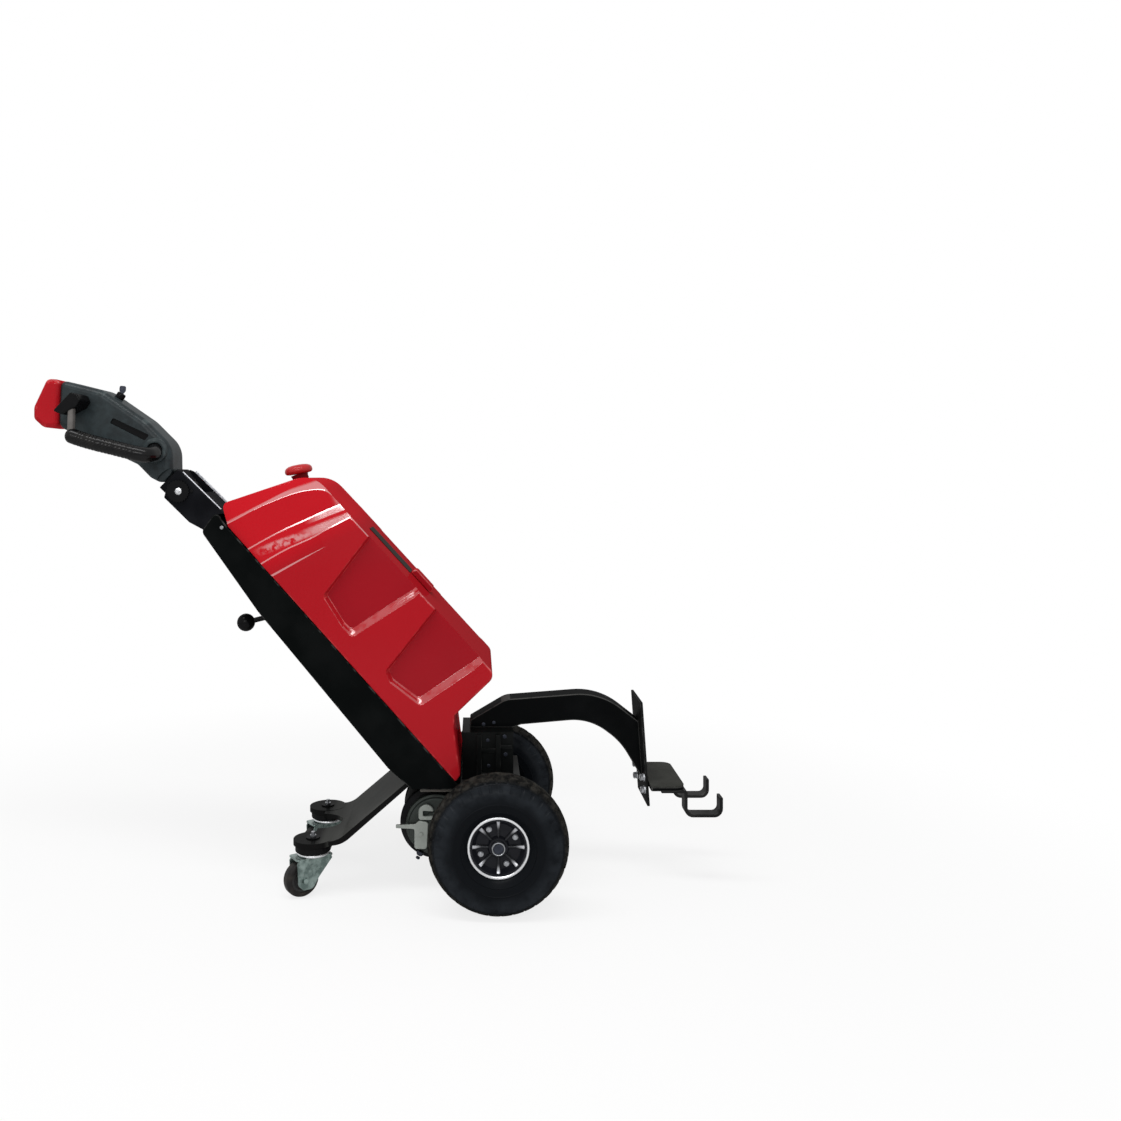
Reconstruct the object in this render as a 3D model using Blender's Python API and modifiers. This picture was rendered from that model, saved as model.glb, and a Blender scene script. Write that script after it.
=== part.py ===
"""Electric tow tractor: a walk-behind tug with two driven wheels, two swivel casters,
a sloping frame under a red cover, a sliding tiller and a two-hook hitch.

X points to the hitch, Y to the left of someone at the tiller, Z up, in metres.
Places are written as (x, z) from the floor point under the drive axle, and the whole
tug hangs on an empty that carries that point to AXLE_X.
"""

import math

import bmesh
import bpy
from mathutils import Matrix, Vector

# --- Overall places and sizes (metres) ---------------------------------------------
AXLE_X = 0.2700           # drive axle ahead of the origin, which is mid-length
GAP = 0.0003              # between pieces that touch
RUNNING_GAP = 0.0006      # round a turning shaft or pin
OPEN_REACH = 0.080        # how far a hollow's cutter runs out through an open side
CUT_REACH = 0.010         # how far other cutters run past what they cut
OVERLAP = 0.004           # of two solids that are fused into one node
EDGE_FINE = 0.0015        # bevel on plate edges
EDGE_TURNED = 0.002       # bevel on turned edges

# Drive wheels
TYRE_RADIUS = 0.145
TYRE_WIDTH = 0.090
TYRE_BELLY = 0.045        # from the tread down to the tyre's widest place
TRACK = 0.456
RIM_RADIUS = 0.063
RIM_WIDTH = 0.058
RIM_WALL = 0.006
DISC_THICKNESS = 0.012
DISC_INSET = 0.012        # disc's outer face behind the rim's outer edge
RIB_COUNT = 8
RIB_WIDTH = 0.007
RIB_HEIGHT = 0.008
HUB_RADIUS = 0.020
HUB_LENGTH = 0.072
HUB_INSET = 0.004         # hub's face behind the rim's outer edge
AXLE_RADIUS = 0.010
AXLE_END = 0.004          # axle's end outside the rim's outer edge
WAIST_SHARE = 0.95        # half width where the tyre's wall turns in, of its widest

# Frame and cover. Places with a third number are corners and the radius there.
FRAME_TOP_LINE = ((-0.573, 0.789), (-0.089, 0.248))   # seat of the cover
TRAY_BACK = ((-0.507, 0.608), (-0.232, 0.277))        # underside of the sloping tray
FRAME_MOUTH = ((-0.596, 0.822, 0.006), (-0.628, 0.779, 0.010))
FRAME_HALF_WIDTH = 0.150
FRAME_WALL = 0.004
FRAME_FLOOR_Z = 0.232
FRAME_FOOT = ((-0.181, FRAME_FLOOR_Z, 0.010), (-0.079, FRAME_FLOOR_Z, 0.0),
              (-0.079, 0.240, 0.0))
COVER_SIDE_WALL = 0.020
COVER_WALL = 0.005
COVER_EDGE = 0.014
POCKET_DEPTH = 0.012
POCKET_BEVEL = 0.008
OUTER_FACE = ((-0.348, 0.853), (-0.033, 0.507))       # line of the cover's outer face
COVER_BROW = (-0.590, 0.8375)                         # upper end of the cover's top face
COVER_CREST = (-0.3953, 0.9030)                       # where its outer face starts
COVER_BROW_RADIUS = 0.012
COVER_CREST_RADIUS = 0.065
COVER_SKIRT = ((-0.0027, 0.4737, 0.020), (-0.091, 0.389, 0.006), (-0.092, 0.362, 0.006),
               (-0.079, 0.262, 0.004))
POCKETS = (              # corners of each sunk panel, on the side face
    ((-0.255, 0.790), (-0.272, 0.7675), (-0.368, 0.642), (-0.331, 0.583), (-0.310, 0.562),
     (-0.168, 0.6533), (-0.140, 0.680)),
    ((-0.105, 0.650), (-0.128, 0.6173), (-0.236, 0.482), (-0.2275, 0.4628), (-0.166, 0.416),
     (-0.033, 0.5060), (-0.004, 0.530)),
)
WINDOW_SPAN = (0.098, 0.232)                          # along the outer face
WINDOW_HALF_WIDTH = 0.038
WINDOW_DEPTH = 0.003
WINDOW_PROUD = 0.0005     # window's face outside the cover's
LATCH_GAP = 0.001         # between the window strip and the latch
LATCH_LENGTH = 0.063
LATCH_HEIGHT = 0.014
LATCH_HALF_WIDTH = 0.024
LATCH_CORNER = 0.008
LATCH_EDGE = 0.003
STOP_PLACE = 0.158        # along the cover's top face
STOP_RADIUS = 0.031
STOP_NECK_RADIUS = 0.018
STOP_HEIGHT = 0.031
STOP_PROFILE = ((0.0186, 0.002), (STOP_RADIUS, 0.009), (STOP_RADIUS, 0.014),
                (STOP_NECK_RADIUS, 0.019))            # (radius, depth below its top)

# Battery and drive unit
BATTERY_START = 0.040     # down the tray's back from its upper fold
BATTERY_LENGTH = 0.330
BATTERY_DEPTH = 0.146
BATTERY_HALF_WIDTH = 0.110
BASE_PLATE_SPAN = (-0.165, 0.052)
BASE_PLATE_THICKNESS = 0.010
BASE_PLATE_HALF_WIDTH = 0.130
CARRIER_SPAN = (-0.076, 0.036)
CARRIER_HALF_WIDTH = 0.072
CARRIER_WALL = 0.008
CARRIER_TOP = 0.335
GEARBOX_SPAN = (-0.052, 0.050)
GEARBOX_BOTTOM = 0.088
GEARBOX_HALF_WIDTH = 0.060
AXLE_TUBE_RADIUS = 0.028
AXLE_TUBE_GAP = 0.013     # axle tube's end short of the wheel's hub
MOTOR_PLACE = (-0.1325, 0.140)
MOTOR_RADIUS = 0.079
MOTOR_HALF_LENGTH = 0.078
MOTOR_EDGE = 0.004
BRAKE_RADIUS = 0.066
BRAKE_THICKNESS = 0.024
LEVER_THICKNESS = 0.006
LEVER_CORNERS = (         # from the motor's middle: (x, z, radius)
    (-0.086, 0.005, 0.002), (-0.086, -0.005, 0.002), (-0.014, -0.008, 0.0),
    (-0.002, -0.046, 0.006), (0.022, -0.046, 0.006), (0.026, 0.034, 0.010),
    (0.004, 0.044, 0.010), (-0.012, 0.020, 0.006), (-0.020, 0.006, 0.0),
)
BRACKET_HEIGHTS = (0.100, 0.205)
BRACKET_HALF_WIDTH = 0.050
BRACKET_REACH = (-0.004, 0.010)        # foot and crest of its rear edge, from the motor
BRACKET_REAR_TOP = 0.213
GEARBOX_SHOULDER = (0.190, 0.012)      # height of the front bend, and its run to the top
GEARBOX_RADII = (0.024, 0.030, 0.020)

# Hitch
ARM_HALF_WIDTH = 0.030
ARM_TOP = ((-0.059, 0.352, 0.004), (0.020, 0.3985, 0.050), (0.232, 0.4147, 0.150))
ARM_UNDERSIDE = ((0.2761, 0.3039, 0.150), (0.2068, 0.3552, 0.120), (0.055, 0.342, 0.008))
ARM_FOOT_END = 0.036
ARM_ON_PLATE = (0.0515, 0.181)         # down the hitch plate from its top
ARM_EDGE = 0.003
HITCH_PLATE_TOP = (0.314, 0.400)       # on the plate's back face
HITCH_PLATE_BOTTOM = (0.330, 0.172)
HITCH_PLATE_THICKNESS = 0.006
HITCH_PLATE_HALF_WIDTH = 0.070
PLATFORM_TOP = 0.225
PLATFORM_FRONT = 0.408
PLATFORM_HALF_WIDTH = 0.098
PLATFORM_THICKNESS = 0.012
PLATFORM_CORNER = 0.022
PLATFORM_BACK_CORNER = 0.004
PLATFORM_BACK_GAP = 0.0005             # from the hitch plate at the shelf's lower edge
HOOK_WIDTH = 0.034
HOOK_THICKNESS = 0.007
HOOK_SPACING = 0.140      # between the two hooks' middles
HOOK_LENGTH = 0.084       # over both legs
HOOK_BOTTOM = 0.153
HOOK_TIP = 0.196
HOOK_BEND = 0.012         # inner radius
HOOK_FLANGE = 0.050       # laid under the platform
HOOK_SHOULDER = (0.0075, 0.003)        # outer and inner radius under the platform
HOOK_EDGES = (0.001, 0.002)            # corners of the flange and of the tip

# Stand and casters
STAND_HALF_WIDTH = 0.135
STAND_THICKNESS = 0.010
STAND_FLAT_TOP = 0.118
STAND_BEND = (-0.343, 0.118)
STAND_SLOPE = math.radians(40.1)
STAND_LENGTHS = (0.1935, 0.1955)       # of the slope's top and under face
STAND_BEND_RADII = (0.050, 0.060)
CASTER_SPACING = 0.226
SWIVEL_X = -0.396
LOBE_RADIUS = 0.042
LOBE_TOP = 0.1185
LOBE_BOTTOM = 0.107
STAND_NOTCH_RADIUS = 0.050
SOCKET_RADIUS = 0.038
SOCKET_BOTTOM = 0.092
CASTER_RADIUS = 0.0375
CASTER_WIDTH = 0.026
CASTER_HUB_RADIUS = 0.026
CASTER_BOSS_RADII = (0.012, 0.010)     # foot and end of the wheel's boss
CASTER_BOSS_END = 0.003                # boss beyond the wheel's side
CASTER_HUB_RECESS = 0.002
CASTER_TREAD_ROUND = 0.007
CASTER_TRAIL = 0.028
CROWN_RADIUS = 0.027
FORK_THICKNESS = 0.003
FORK_SIDE_GAP = 0.005     # wheel to fork leg
FORK_TOP = (0.0805, 0.0845)            # heights of the fork's top plate
FORK_LIP = 0.001                       # top plate's edge outside the legs
FORK_LEG = ((-0.046, 0.074, 0.004), (-0.044, 0.030, 0.012), (-0.032, 0.018, 0.010),
            (-0.010, 0.018, 0.012), (0.004, 0.040, 0.020), (0.036, 0.077, 0.004))
PIN_RADIUS = 0.004
PIN_END = 0.003           # pin beyond the fork's leg
CASTER_ANGLES = {"near": math.radians(34), "far": math.radians(34)}

# Release knob under the frame
KNOB_PLACE = (-0.565, 0.566)
KNOB_RADIUS = 0.020
KNOB_STEM_RADIUS = 0.006
KNOB_STEM_START = 0.029   # along the tray's back from its upper fold

# Tiller
SLEEVE_TOP = (-0.696, 0.907)           # upper corner of the sleeve's side
SLEEVE_TILT = math.radians(44.5)       # above the floor
SLEEVE_SIDE = (          # (distance down the sleeve, depth below its top face)
    (-0.010, -0.004), (-0.004, -0.038), (0.013, -0.0685), (0.091, -0.0685),
    (0.127, -0.058), (0.195, -0.058), (0.195, 0.0),
)
SLOT_SPAN = (-0.030, 0.066)            # of the tongue's slot, down the sleeve
SLOT_DEPTH = 0.080
SLEEVE_HALF_WIDTH = 0.055
SLEEVE_WALL = 0.006
PIVOT_PLACE = (-0.703, 0.863)
PIVOT_RADIUS = 0.008
PIVOT_END = 0.006         # pivot pin beyond the sleeve's side
TONGUE_RADIUS = 0.027
TONGUE_HALF_WIDTH = 0.043
TONGUE_SHANK = ((-0.012, -0.004), (0.020, -0.0075), (0.026, -0.062), (-0.012, -0.062))
HEAD_HALF_WIDTH = 0.050
HEAD_EDGE = 0.015
EAR_CLEARANCE_RADIUS = 0.055           # round the pivot, where the head slims for the ears
HEAD_CORNERS = (         # side outline of the tiller's head: (x, z, radius)
    (-0.8732, 1.0868, 0.060), (-0.7765, 1.0201, 0.090), (-0.7195, 0.9631, 0.060),
    (-0.7187, 0.9023, 0.006), (-0.7413, 0.8787, 0.010), (-0.768, 0.8925, 0.012),
    (-0.797, 0.922, 0.030),
)
CAP_LINE = ((-0.967, 1.110), (-0.972, 1.006))         # joint of head and end button
CAP_CORNERS = ((-1.012, 1.004, 0.016), (-1.031, 1.024, 0.012), (-1.0315, 1.050, 0.014),
               (-0.998, 1.113, 0.010))
CAP_INSET = 0.002         # button's side inside the head's
CAP_EDGE = 0.014
KEY_PLACE = 0.026         # down the head's back from its upper bend
KEY_RADIUS = 0.009
KEY_HEIGHT = 0.026
KEY_TAPER = 0.7
GRIP_RADIUS = 0.0165
GRIP_LATERAL = 0.108
GRIP_ROUTE = (           # (x, lateral, z) of a grip's middle line, before smoothing
    (-0.755, 0.046, 0.953), (-0.752, 0.080, 0.945), (-0.768, 0.106, 0.943),
    (-0.830, GRIP_LATERAL, 0.958), (-0.888, GRIP_LATERAL, 0.972), (-0.917, 0.107, 0.988),
    (-0.926, 0.104, 1.012), (-0.922, 0.098, 1.034), (-0.911, 0.083, 1.050),
    (-0.898, 0.064, 1.057), (-0.888, 0.046, 1.058),
)

RED = (0.39, 0.012, 0.018)
DEEP_RED = (0.3, 0.008, 0.01)
BLACK = (0.012, 0.012, 0.012)
GREY = (0.05, 0.05, 0.046)
HEAD_GREY = (0.042, 0.055, 0.058)
ZINC = (0.42, 0.5, 0.48)
RUBBER = (0.02, 0.02, 0.022)

SIDES = (("near", -1), ("far", 1))     # name and sign of Y


# --- Scene and general makers --------------------------------------------------------
def clear_scene():
    for item in list(bpy.data.objects):
        bpy.data.objects.remove(item, do_unlink=True)


def make_collection(name):
    made = bpy.data.collections.new(name)
    bpy.context.scene.collection.children.link(made)
    return made


clear_scene()
PARTS = make_collection("electric_tow_tractor")
CUTTERS = make_collection("cutters")
ROOT = bpy.data.objects.new("axle_line", None)
ROOT.location.x = AXLE_X
PARTS.objects.link(ROOT)


def make_material(name, colour, roughness, metallic):
    made = bpy.data.materials.new(name)
    made.use_nodes = True
    shader = made.node_tree.nodes["Principled BSDF"]
    shader.inputs["Base Color"].default_value = (*colour, 1.0)
    shader.inputs["Roughness"].default_value = roughness
    shader.inputs["Metallic"].default_value = metallic
    return made


def add_part(name, mesh, colour, roughness=0.5, metallic=0.0, parent=None):
    """Link a mesh as one of the tug's pieces, with its own material."""
    part = bpy.data.objects.new(name, mesh)
    PARTS.objects.link(part)
    part.parent = parent or ROOT
    mesh.materials.append(make_material(name, colour, roughness, metallic))
    return part


def add_cutter(name, mesh):
    cutter = bpy.data.objects.new(name, mesh)
    CUTTERS.objects.link(cutter)
    cutter.parent = ROOT
    cutter.hide_render = True
    cutter.display_type = "WIRE"
    return cutter


def combine(target, other, operation):
    change = target.modifiers.new(operation.lower() + "_" + other.name, "BOOLEAN")
    change.operation = operation
    change.solver = "EXACT"
    change.object = other


def fuse(target, other):
    combine(target, other, "UNION")


def cut(target, other):
    combine(target, other, "DIFFERENCE")


def bevel(part, width, segments=2, angle=40.0):
    edge = part.modifiers.new("edges", "BEVEL")
    edge.width = width
    edge.segments = segments
    edge.limit_method = "ANGLE"
    edge.angle_limit = math.radians(angle)


def smooth(mesh, angle=35.0):
    mesh.shade_smooth()
    mesh.set_sharp_from_angle(angle=math.radians(angle))


def box_mesh(name, low, high):
    """A box between two opposite corners."""
    made = bmesh.new()
    bmesh.ops.create_cube(made, size=1.0)
    size = Vector(high) - Vector(low)
    middle = (Vector(high) + Vector(low)) / 2
    bmesh.ops.scale(made, vec=size, verts=made.verts)
    bmesh.ops.translate(made, vec=middle, verts=made.verts)
    mesh = bpy.data.meshes.new(name)
    made.to_mesh(mesh)
    made.free()
    return mesh


def rod_mesh(name, start, end, radius, sides=32, end_radius=None):
    """A round bar or cone from one point to another."""
    start = Vector(start)
    end = Vector(end)
    made = bmesh.new()
    bmesh.ops.create_cone(
        made, cap_ends=True, segments=sides, radius1=radius,
        radius2=radius if end_radius is None else end_radius, depth=(end - start).length,
    )
    turn = (end - start).to_track_quat("Z", "Y").to_matrix().to_4x4()
    bmesh.ops.transform(
        made, matrix=Matrix.Translation((start + end) / 2) @ turn, verts=made.verts
    )
    mesh = bpy.data.meshes.new(name)
    made.to_mesh(mesh)
    made.free()
    smooth(mesh)
    return mesh


def rounded_outline(corners, steps=5):
    """Points of a closed outline whose corners are (x, z, radius), each radius an arc."""
    points = []
    for index, (x, z, radius) in enumerate(corners):
        corner = Vector((x, z))
        if radius <= 0:
            points.append(corner)
            continue
        before = (Vector(corners[index - 1][:2]) - corner).normalized()
        after = (Vector(corners[(index + 1) % len(corners)][:2]) - corner).normalized()
        half = before.angle(after) / 2
        centre = corner + (before + after).normalized() * radius / math.sin(half)
        spoke = corner + before * radius / math.tan(half) - centre
        sweep = math.pi - 2 * half
        if before.x * after.y - before.y * after.x > 0:
            sweep = -sweep
        for step in range(steps + 1):
            turn = Matrix.Rotation(sweep * step / steps, 2)
            points.append(centre + turn @ spoke)
    return points


def mesh_from_curve(holder):
    """Turn a curve object into a closed mesh in the tug's own coordinates."""
    graph = bpy.context.evaluated_depsgraph_get()
    mesh = bpy.data.meshes.new_from_object(holder.evaluated_get(graph))
    mesh.transform(holder.matrix_world)
    made = bmesh.new()
    made.from_mesh(mesh)
    bmesh.ops.remove_doubles(made, verts=made.verts, dist=0.00001)
    bmesh.ops.recalc_face_normals(made, faces=made.faces)
    made.to_mesh(mesh)
    made.free()
    mesh.materials.clear()
    bpy.data.objects.remove(holder, do_unlink=True)
    return mesh


def outline_mesh(name, points, low, high, plane="side"):
    """Extrude a flat outline: a side outline along Y, a plan outline along Z."""
    curve = bpy.data.curves.new(name, "CURVE")
    curve.dimensions = "2D"
    curve.fill_mode = "BOTH"
    curve.extrude = (high - low) / 2
    spline = curve.splines.new("POLY")
    spline.points.add(len(points) - 1)
    for knot, point in zip(spline.points, points):
        knot.co = (point[0], point[1], 0.0, 1.0)
    spline.use_cyclic_u = True
    holder = bpy.data.objects.new(name, curve)
    if plane == "side":
        holder.rotation_euler.x = math.radians(90)
        holder.location.y = (low + high) / 2
    else:
        holder.location.z = (low + high) / 2
    bpy.context.scene.collection.objects.link(holder)
    bpy.context.view_layer.update()
    return mesh_from_curve(holder)


def tube_mesh(name, points, radius, resolution=3, cyclic=False):
    """A round bar bent through the points."""
    curve = bpy.data.curves.new(name, "CURVE")
    curve.dimensions = "3D"
    curve.bevel_depth = radius
    curve.bevel_resolution = resolution
    curve.use_fill_caps = True
    spline = curve.splines.new("POLY")
    spline.points.add(len(points) - 1)
    for knot, point in zip(spline.points, points):
        knot.co = (*point, 1.0)
    spline.use_cyclic_u = cyclic
    holder = bpy.data.objects.new(name, curve)
    bpy.context.scene.collection.objects.link(holder)
    bpy.context.view_layer.update()
    mesh = mesh_from_curve(holder)
    smooth(mesh, 50)
    return mesh


def turned(name, profile, centre, axis, colour, roughness, metallic, steps=48, parent=None):
    """Turn a (radius, height) profile about an axis; it closes itself or ends on the axis."""
    mesh = bpy.data.meshes.new(name)
    count = len(profile)
    on_axis = profile[0][0] == 0.0 and profile[-1][0] == 0.0
    mesh.from_pydata(
        [(radius, 0.0, height) for radius, height in profile],
        [(index, (index + 1) % count) for index in range(count - on_axis)], [],
    )
    part = add_part(name, mesh, colour, roughness, metallic, parent)
    part.location = centre
    part.rotation_euler = Vector(axis).to_track_quat("Z", "Y").to_euler()
    sweep = part.modifiers.new("turn", "SCREW")
    sweep.steps = steps
    sweep.render_steps = steps
    sweep.use_merge_vertices = True
    sweep.merge_threshold = 0.00001
    sweep.use_smooth_shade = True
    return part


# --- Wheels ----------------------------------------------------------------------------
def make_tyre(side, lateral):
    """Pneumatic tyre of round section, with walls that come in to the rim's beads."""
    half = TYRE_WIDTH / 2
    belly = TYRE_RADIUS - TYRE_BELLY
    bead = RIM_WIDTH / 2
    inner = RIM_RADIUS + GAP
    waist = (belly + inner) / 2
    profile = [(inner, -bead), (waist, -half * WAIST_SHARE)]
    for step in range(13):
        angle = math.radians(15 * step - 90)
        profile.append((belly + TYRE_BELLY * math.cos(angle), half * math.sin(angle)))
    profile += [(waist, half * WAIST_SHARE), (inner, bead)]
    turned("tyre_" + side, profile[::-1], (0, lateral, TYRE_RADIUS), (0, 1, 0),
           RUBBER, 0.75, 0.0, 44)


def make_rim(side, lateral, outward):
    """Rim ring with a recessed disc, radial ribs and a hub that holds the axle."""
    half = RIM_WIDTH / 2
    face = half - DISC_INSET
    profile = [
        (RIM_RADIUS, half), (RIM_RADIUS - RIM_WALL, half), (RIM_RADIUS - RIM_WALL, face),
        (HUB_RADIUS, face), (HUB_RADIUS, half - HUB_INSET),
        (AXLE_RADIUS + GAP, half - HUB_INSET),
        (AXLE_RADIUS + GAP, half - HUB_LENGTH), (HUB_RADIUS, half - HUB_LENGTH),
        (HUB_RADIUS, face - DISC_THICKNESS),
        (RIM_RADIUS - RIM_WALL, face - DISC_THICKNESS),
        (RIM_RADIUS - RIM_WALL, -half), (RIM_RADIUS, -half),
    ]
    place = (0, lateral, TYRE_RADIUS)
    rim = turned("rim_" + side, profile[::-1], place, (0, outward, 0), ZINC, 0.35, 0.8, 48)
    start = HUB_RADIUS - OVERLAP / 2
    end = RIM_RADIUS - RIM_WALL + OVERLAP / 2
    face_at = lateral + outward * face
    low, high = sorted((face_at - outward * OVERLAP, face_at + outward * RIB_HEIGHT))
    for index in range(RIB_COUNT):
        mesh = box_mesh("rib", (start, low, -RIB_WIDTH / 2), (end, high, RIB_WIDTH / 2))
        mesh.transform(Matrix.Rotation(math.tau * index / RIB_COUNT, 4, "Y"))
        mesh.transform(Matrix.Translation((0, 0, TYRE_RADIUS)))
        fuse(rim, add_cutter(f"rib_{side}_{index}", mesh))


def make_axle(side, outward):
    """Driven half shaft, from inside the gearbox to the hub's outer face."""
    start = GEARBOX_HALF_WIDTH + OVERLAP
    end = TRACK / 2 + RIM_WIDTH / 2 + AXLE_END
    mesh = rod_mesh("axle", (0, outward * start, TYRE_RADIUS), (0, outward * end, TYRE_RADIUS),
                    AXLE_RADIUS)
    add_part("axle_" + side, mesh, ZINC, 0.35, 0.9)


# --- Lines and offsets in the side plane -----------------------------------------------
def beside(line, along, out):
    """Point at a distance along a line and out from it, to the left of its direction."""
    start = Vector(line[0])
    step = (Vector(line[1]) - start).normalized()
    return start + step * along + Vector((-step.y, step.x)) * out


def strip(line, span, low, high):
    """Four corners of a band beside a line."""
    return [beside(line, span[0], low), beside(line, span[1], low),
            beside(line, span[1], high), beside(line, span[0], high)]


def inset(corners, distances):
    """Move each side of a clockwise or anticlockwise outline inward by its own distance."""
    points = [Vector(corner[:2]) for corner in corners]
    count = len(points)
    area = sum(points[i - 1].x * points[i].y - points[i].x * points[i - 1].y for i in range(count))
    turn = 1.0 if area > 0 else -1.0
    lines = []
    for index in range(count):
        start = points[index]
        step = (points[(index + 1) % count] - start).normalized()
        inward = Vector((-step.y, step.x)) * turn
        lines.append((start + inward * distances[index], step))
    moved = []
    for index in range(count):
        (p, d), (q, e) = lines[index - 1], lines[index]
        cross = d.x * e.y - d.y * e.x
        moved.append(p + d * ((q - p).x * e.y - (q - p).y * e.x) / cross)
    return moved


# --- Frame and cover -------------------------------------------------------------------
SLEEVE_LINE = (SLEEVE_TOP, (SLEEVE_TOP[0] + math.cos(SLEEVE_TILT),
                            SLEEVE_TOP[1] - math.sin(SLEEVE_TILT)))


def sleeve_points(grow=0.0):
    points = [beside(SLEEVE_LINE, along, out) for along, out in SLEEVE_SIDE]
    points.insert(0, Vector(SLEEVE_TOP))
    if grow:
        points = inset(points, [-grow] * len(points))
    return points


def sleeve_cutter(name):
    half = SLEEVE_HALF_WIDTH + GAP
    return add_cutter(name, outline_mesh(name, sleeve_points(GAP), -half, half))


def make_frame():
    """Folded tray that slopes up from the drive unit to the tiller's sleeve."""
    top, tip = FRAME_TOP_LINE
    high, low = TRAY_BACK
    corners = [(*top, 0.0), *FRAME_MOUTH, (*high, 0.0), (*low, 0.0), *FRAME_FOOT, (*tip, 0.0)]
    frame = add_part(
        "frame_channel",
        outline_mesh("frame", rounded_outline(corners), -FRAME_HALF_WIDTH, FRAME_HALF_WIDTH),
        BLACK, 0.45, 0.2,
    )
    walls = [FRAME_WALL] * (len(corners) - 1) + [-OPEN_REACH]
    inner = FRAME_HALF_WIDTH - FRAME_WALL
    hollow = inset(corners, walls)
    cut(frame, add_cutter("frame_hollow", outline_mesh("hollow", hollow, -inner, inner)))
    cut(frame, sleeve_cutter("frame_mouth"))


def cover_corners():
    """Side outline of the hood: (x, z, radius), round from the seat's upper end."""
    seat = (FRAME_TOP_LINE[1], FRAME_TOP_LINE[0])
    length = (Vector(seat[0]) - Vector(seat[1])).length
    low = beside(seat, 0.0, -GAP)
    high = beside(seat, length, -GAP)
    return [(high.x, high.y, 0.0), (*COVER_BROW, COVER_BROW_RADIUS),
            (*COVER_CREST, COVER_CREST_RADIUS), *COVER_SKIRT, (low.x, low.y, 0.0)]


def make_cover():
    """Hollow moulded hood, with two pockets sunk into each side."""
    corners = cover_corners()
    cover = add_part(
        "cover_shell",
        outline_mesh("cover", rounded_outline(corners), -FRAME_HALF_WIDTH, FRAME_HALF_WIDTH),
        RED, 0.25, 0.0,
    )
    bevel(cover, COVER_EDGE, 3, 60)
    walls = [COVER_WALL] * (len(corners) - 1) + [-OPEN_REACH]
    inner = FRAME_HALF_WIDTH - COVER_SIDE_WALL
    hollow = outline_mesh("cover_inside", inset(corners, walls), -inner, inner)
    cut(cover, add_cutter("cover_hollow", hollow))
    cut(cover, sleeve_cutter("cover_mouth"))
    for number, corners in enumerate(POCKETS):
        for side, sign in SIDES:
            low, high = sorted((sign * (FRAME_HALF_WIDTH - POCKET_DEPTH),
                                sign * (FRAME_HALF_WIDTH + POCKET_DEPTH)))
            name = f"pocket_{number}_{side}"
            pocket = add_cutter(name, outline_mesh(name, [Vector(c) for c in corners], low, high))
            bevel(pocket, POCKET_BEVEL, 1, 60)
            cut(cover, pocket)
    seat = strip(OUTER_FACE, (WINDOW_SPAN[0] - GAP, WINDOW_SPAN[1] + GAP),
                 -WINDOW_DEPTH - GAP, WINDOW_DEPTH)
    reach = WINDOW_HALF_WIDTH + GAP
    cut(cover, add_cutter("window_seat", outline_mesh("window_seat", seat, -reach, reach)))
    window = strip(OUTER_FACE, WINDOW_SPAN, -WINDOW_DEPTH, WINDOW_PROUD)
    add_part("cover_window", outline_mesh("window", window, -WINDOW_HALF_WIDTH, WINDOW_HALF_WIDTH),
             BLACK, 0.3, 0.0)
    start = WINDOW_SPAN[1] + LATCH_GAP
    latch = strip(OUTER_FACE, (start, start + LATCH_LENGTH), GAP, LATCH_HEIGHT)
    rounded = rounded_outline([(*latch[0], 0.0), (*latch[1], 0.0), (*latch[2], LATCH_CORNER),
                               (*latch[3], LATCH_CORNER)])
    boss = add_part("cover_latch", outline_mesh("latch", rounded, -LATCH_HALF_WIDTH,
                                                LATCH_HALF_WIDTH), RED, 0.3, 0.0)
    bevel(boss, LATCH_EDGE, 2, 60)


def make_stop_button():
    """Mushroom button on the hood's top face."""
    top_face = (COVER_BROW, COVER_CREST)
    foot = beside(top_face, STOP_PLACE, GAP)
    axis = beside(top_face, STOP_PLACE, 1.0) - beside(top_face, STOP_PLACE, 0.0)
    profile = [(0.0, STOP_HEIGHT)]
    profile += [(radius, STOP_HEIGHT - depth) for radius, depth in STOP_PROFILE]
    profile += [(STOP_NECK_RADIUS, 0.0), (0.0, 0.0)]
    turned("stop_button", profile, (foot.x, 0, foot.y), (axis.x, 0, axis.y),
           DEEP_RED, 0.35, 0.0, 32)


# --- Battery, carrier and drive unit ---------------------------------------------------
def make_battery():
    """One block in the tray, standing for the batteries and controller."""
    low = FRAME_WALL + GAP
    corners = strip(TRAY_BACK, (BATTERY_START, BATTERY_START + BATTERY_LENGTH), low,
                    low + BATTERY_DEPTH)
    add_part("battery_block", outline_mesh("battery", corners, -BATTERY_HALF_WIDTH,
                                           BATTERY_HALF_WIDTH), GREY, 0.7, 0.0)


def make_base_plate():
    top = FRAME_FLOOR_Z - GAP
    mesh = box_mesh("base", (BASE_PLATE_SPAN[0], -BASE_PLATE_HALF_WIDTH,
                             top - BASE_PLATE_THICKNESS),
                    (BASE_PLATE_SPAN[1], BASE_PLATE_HALF_WIDTH, top))
    bevel(add_part("base_plate", mesh, GREY, 0.5, 0.3), EDGE_FINE, 1)


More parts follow.
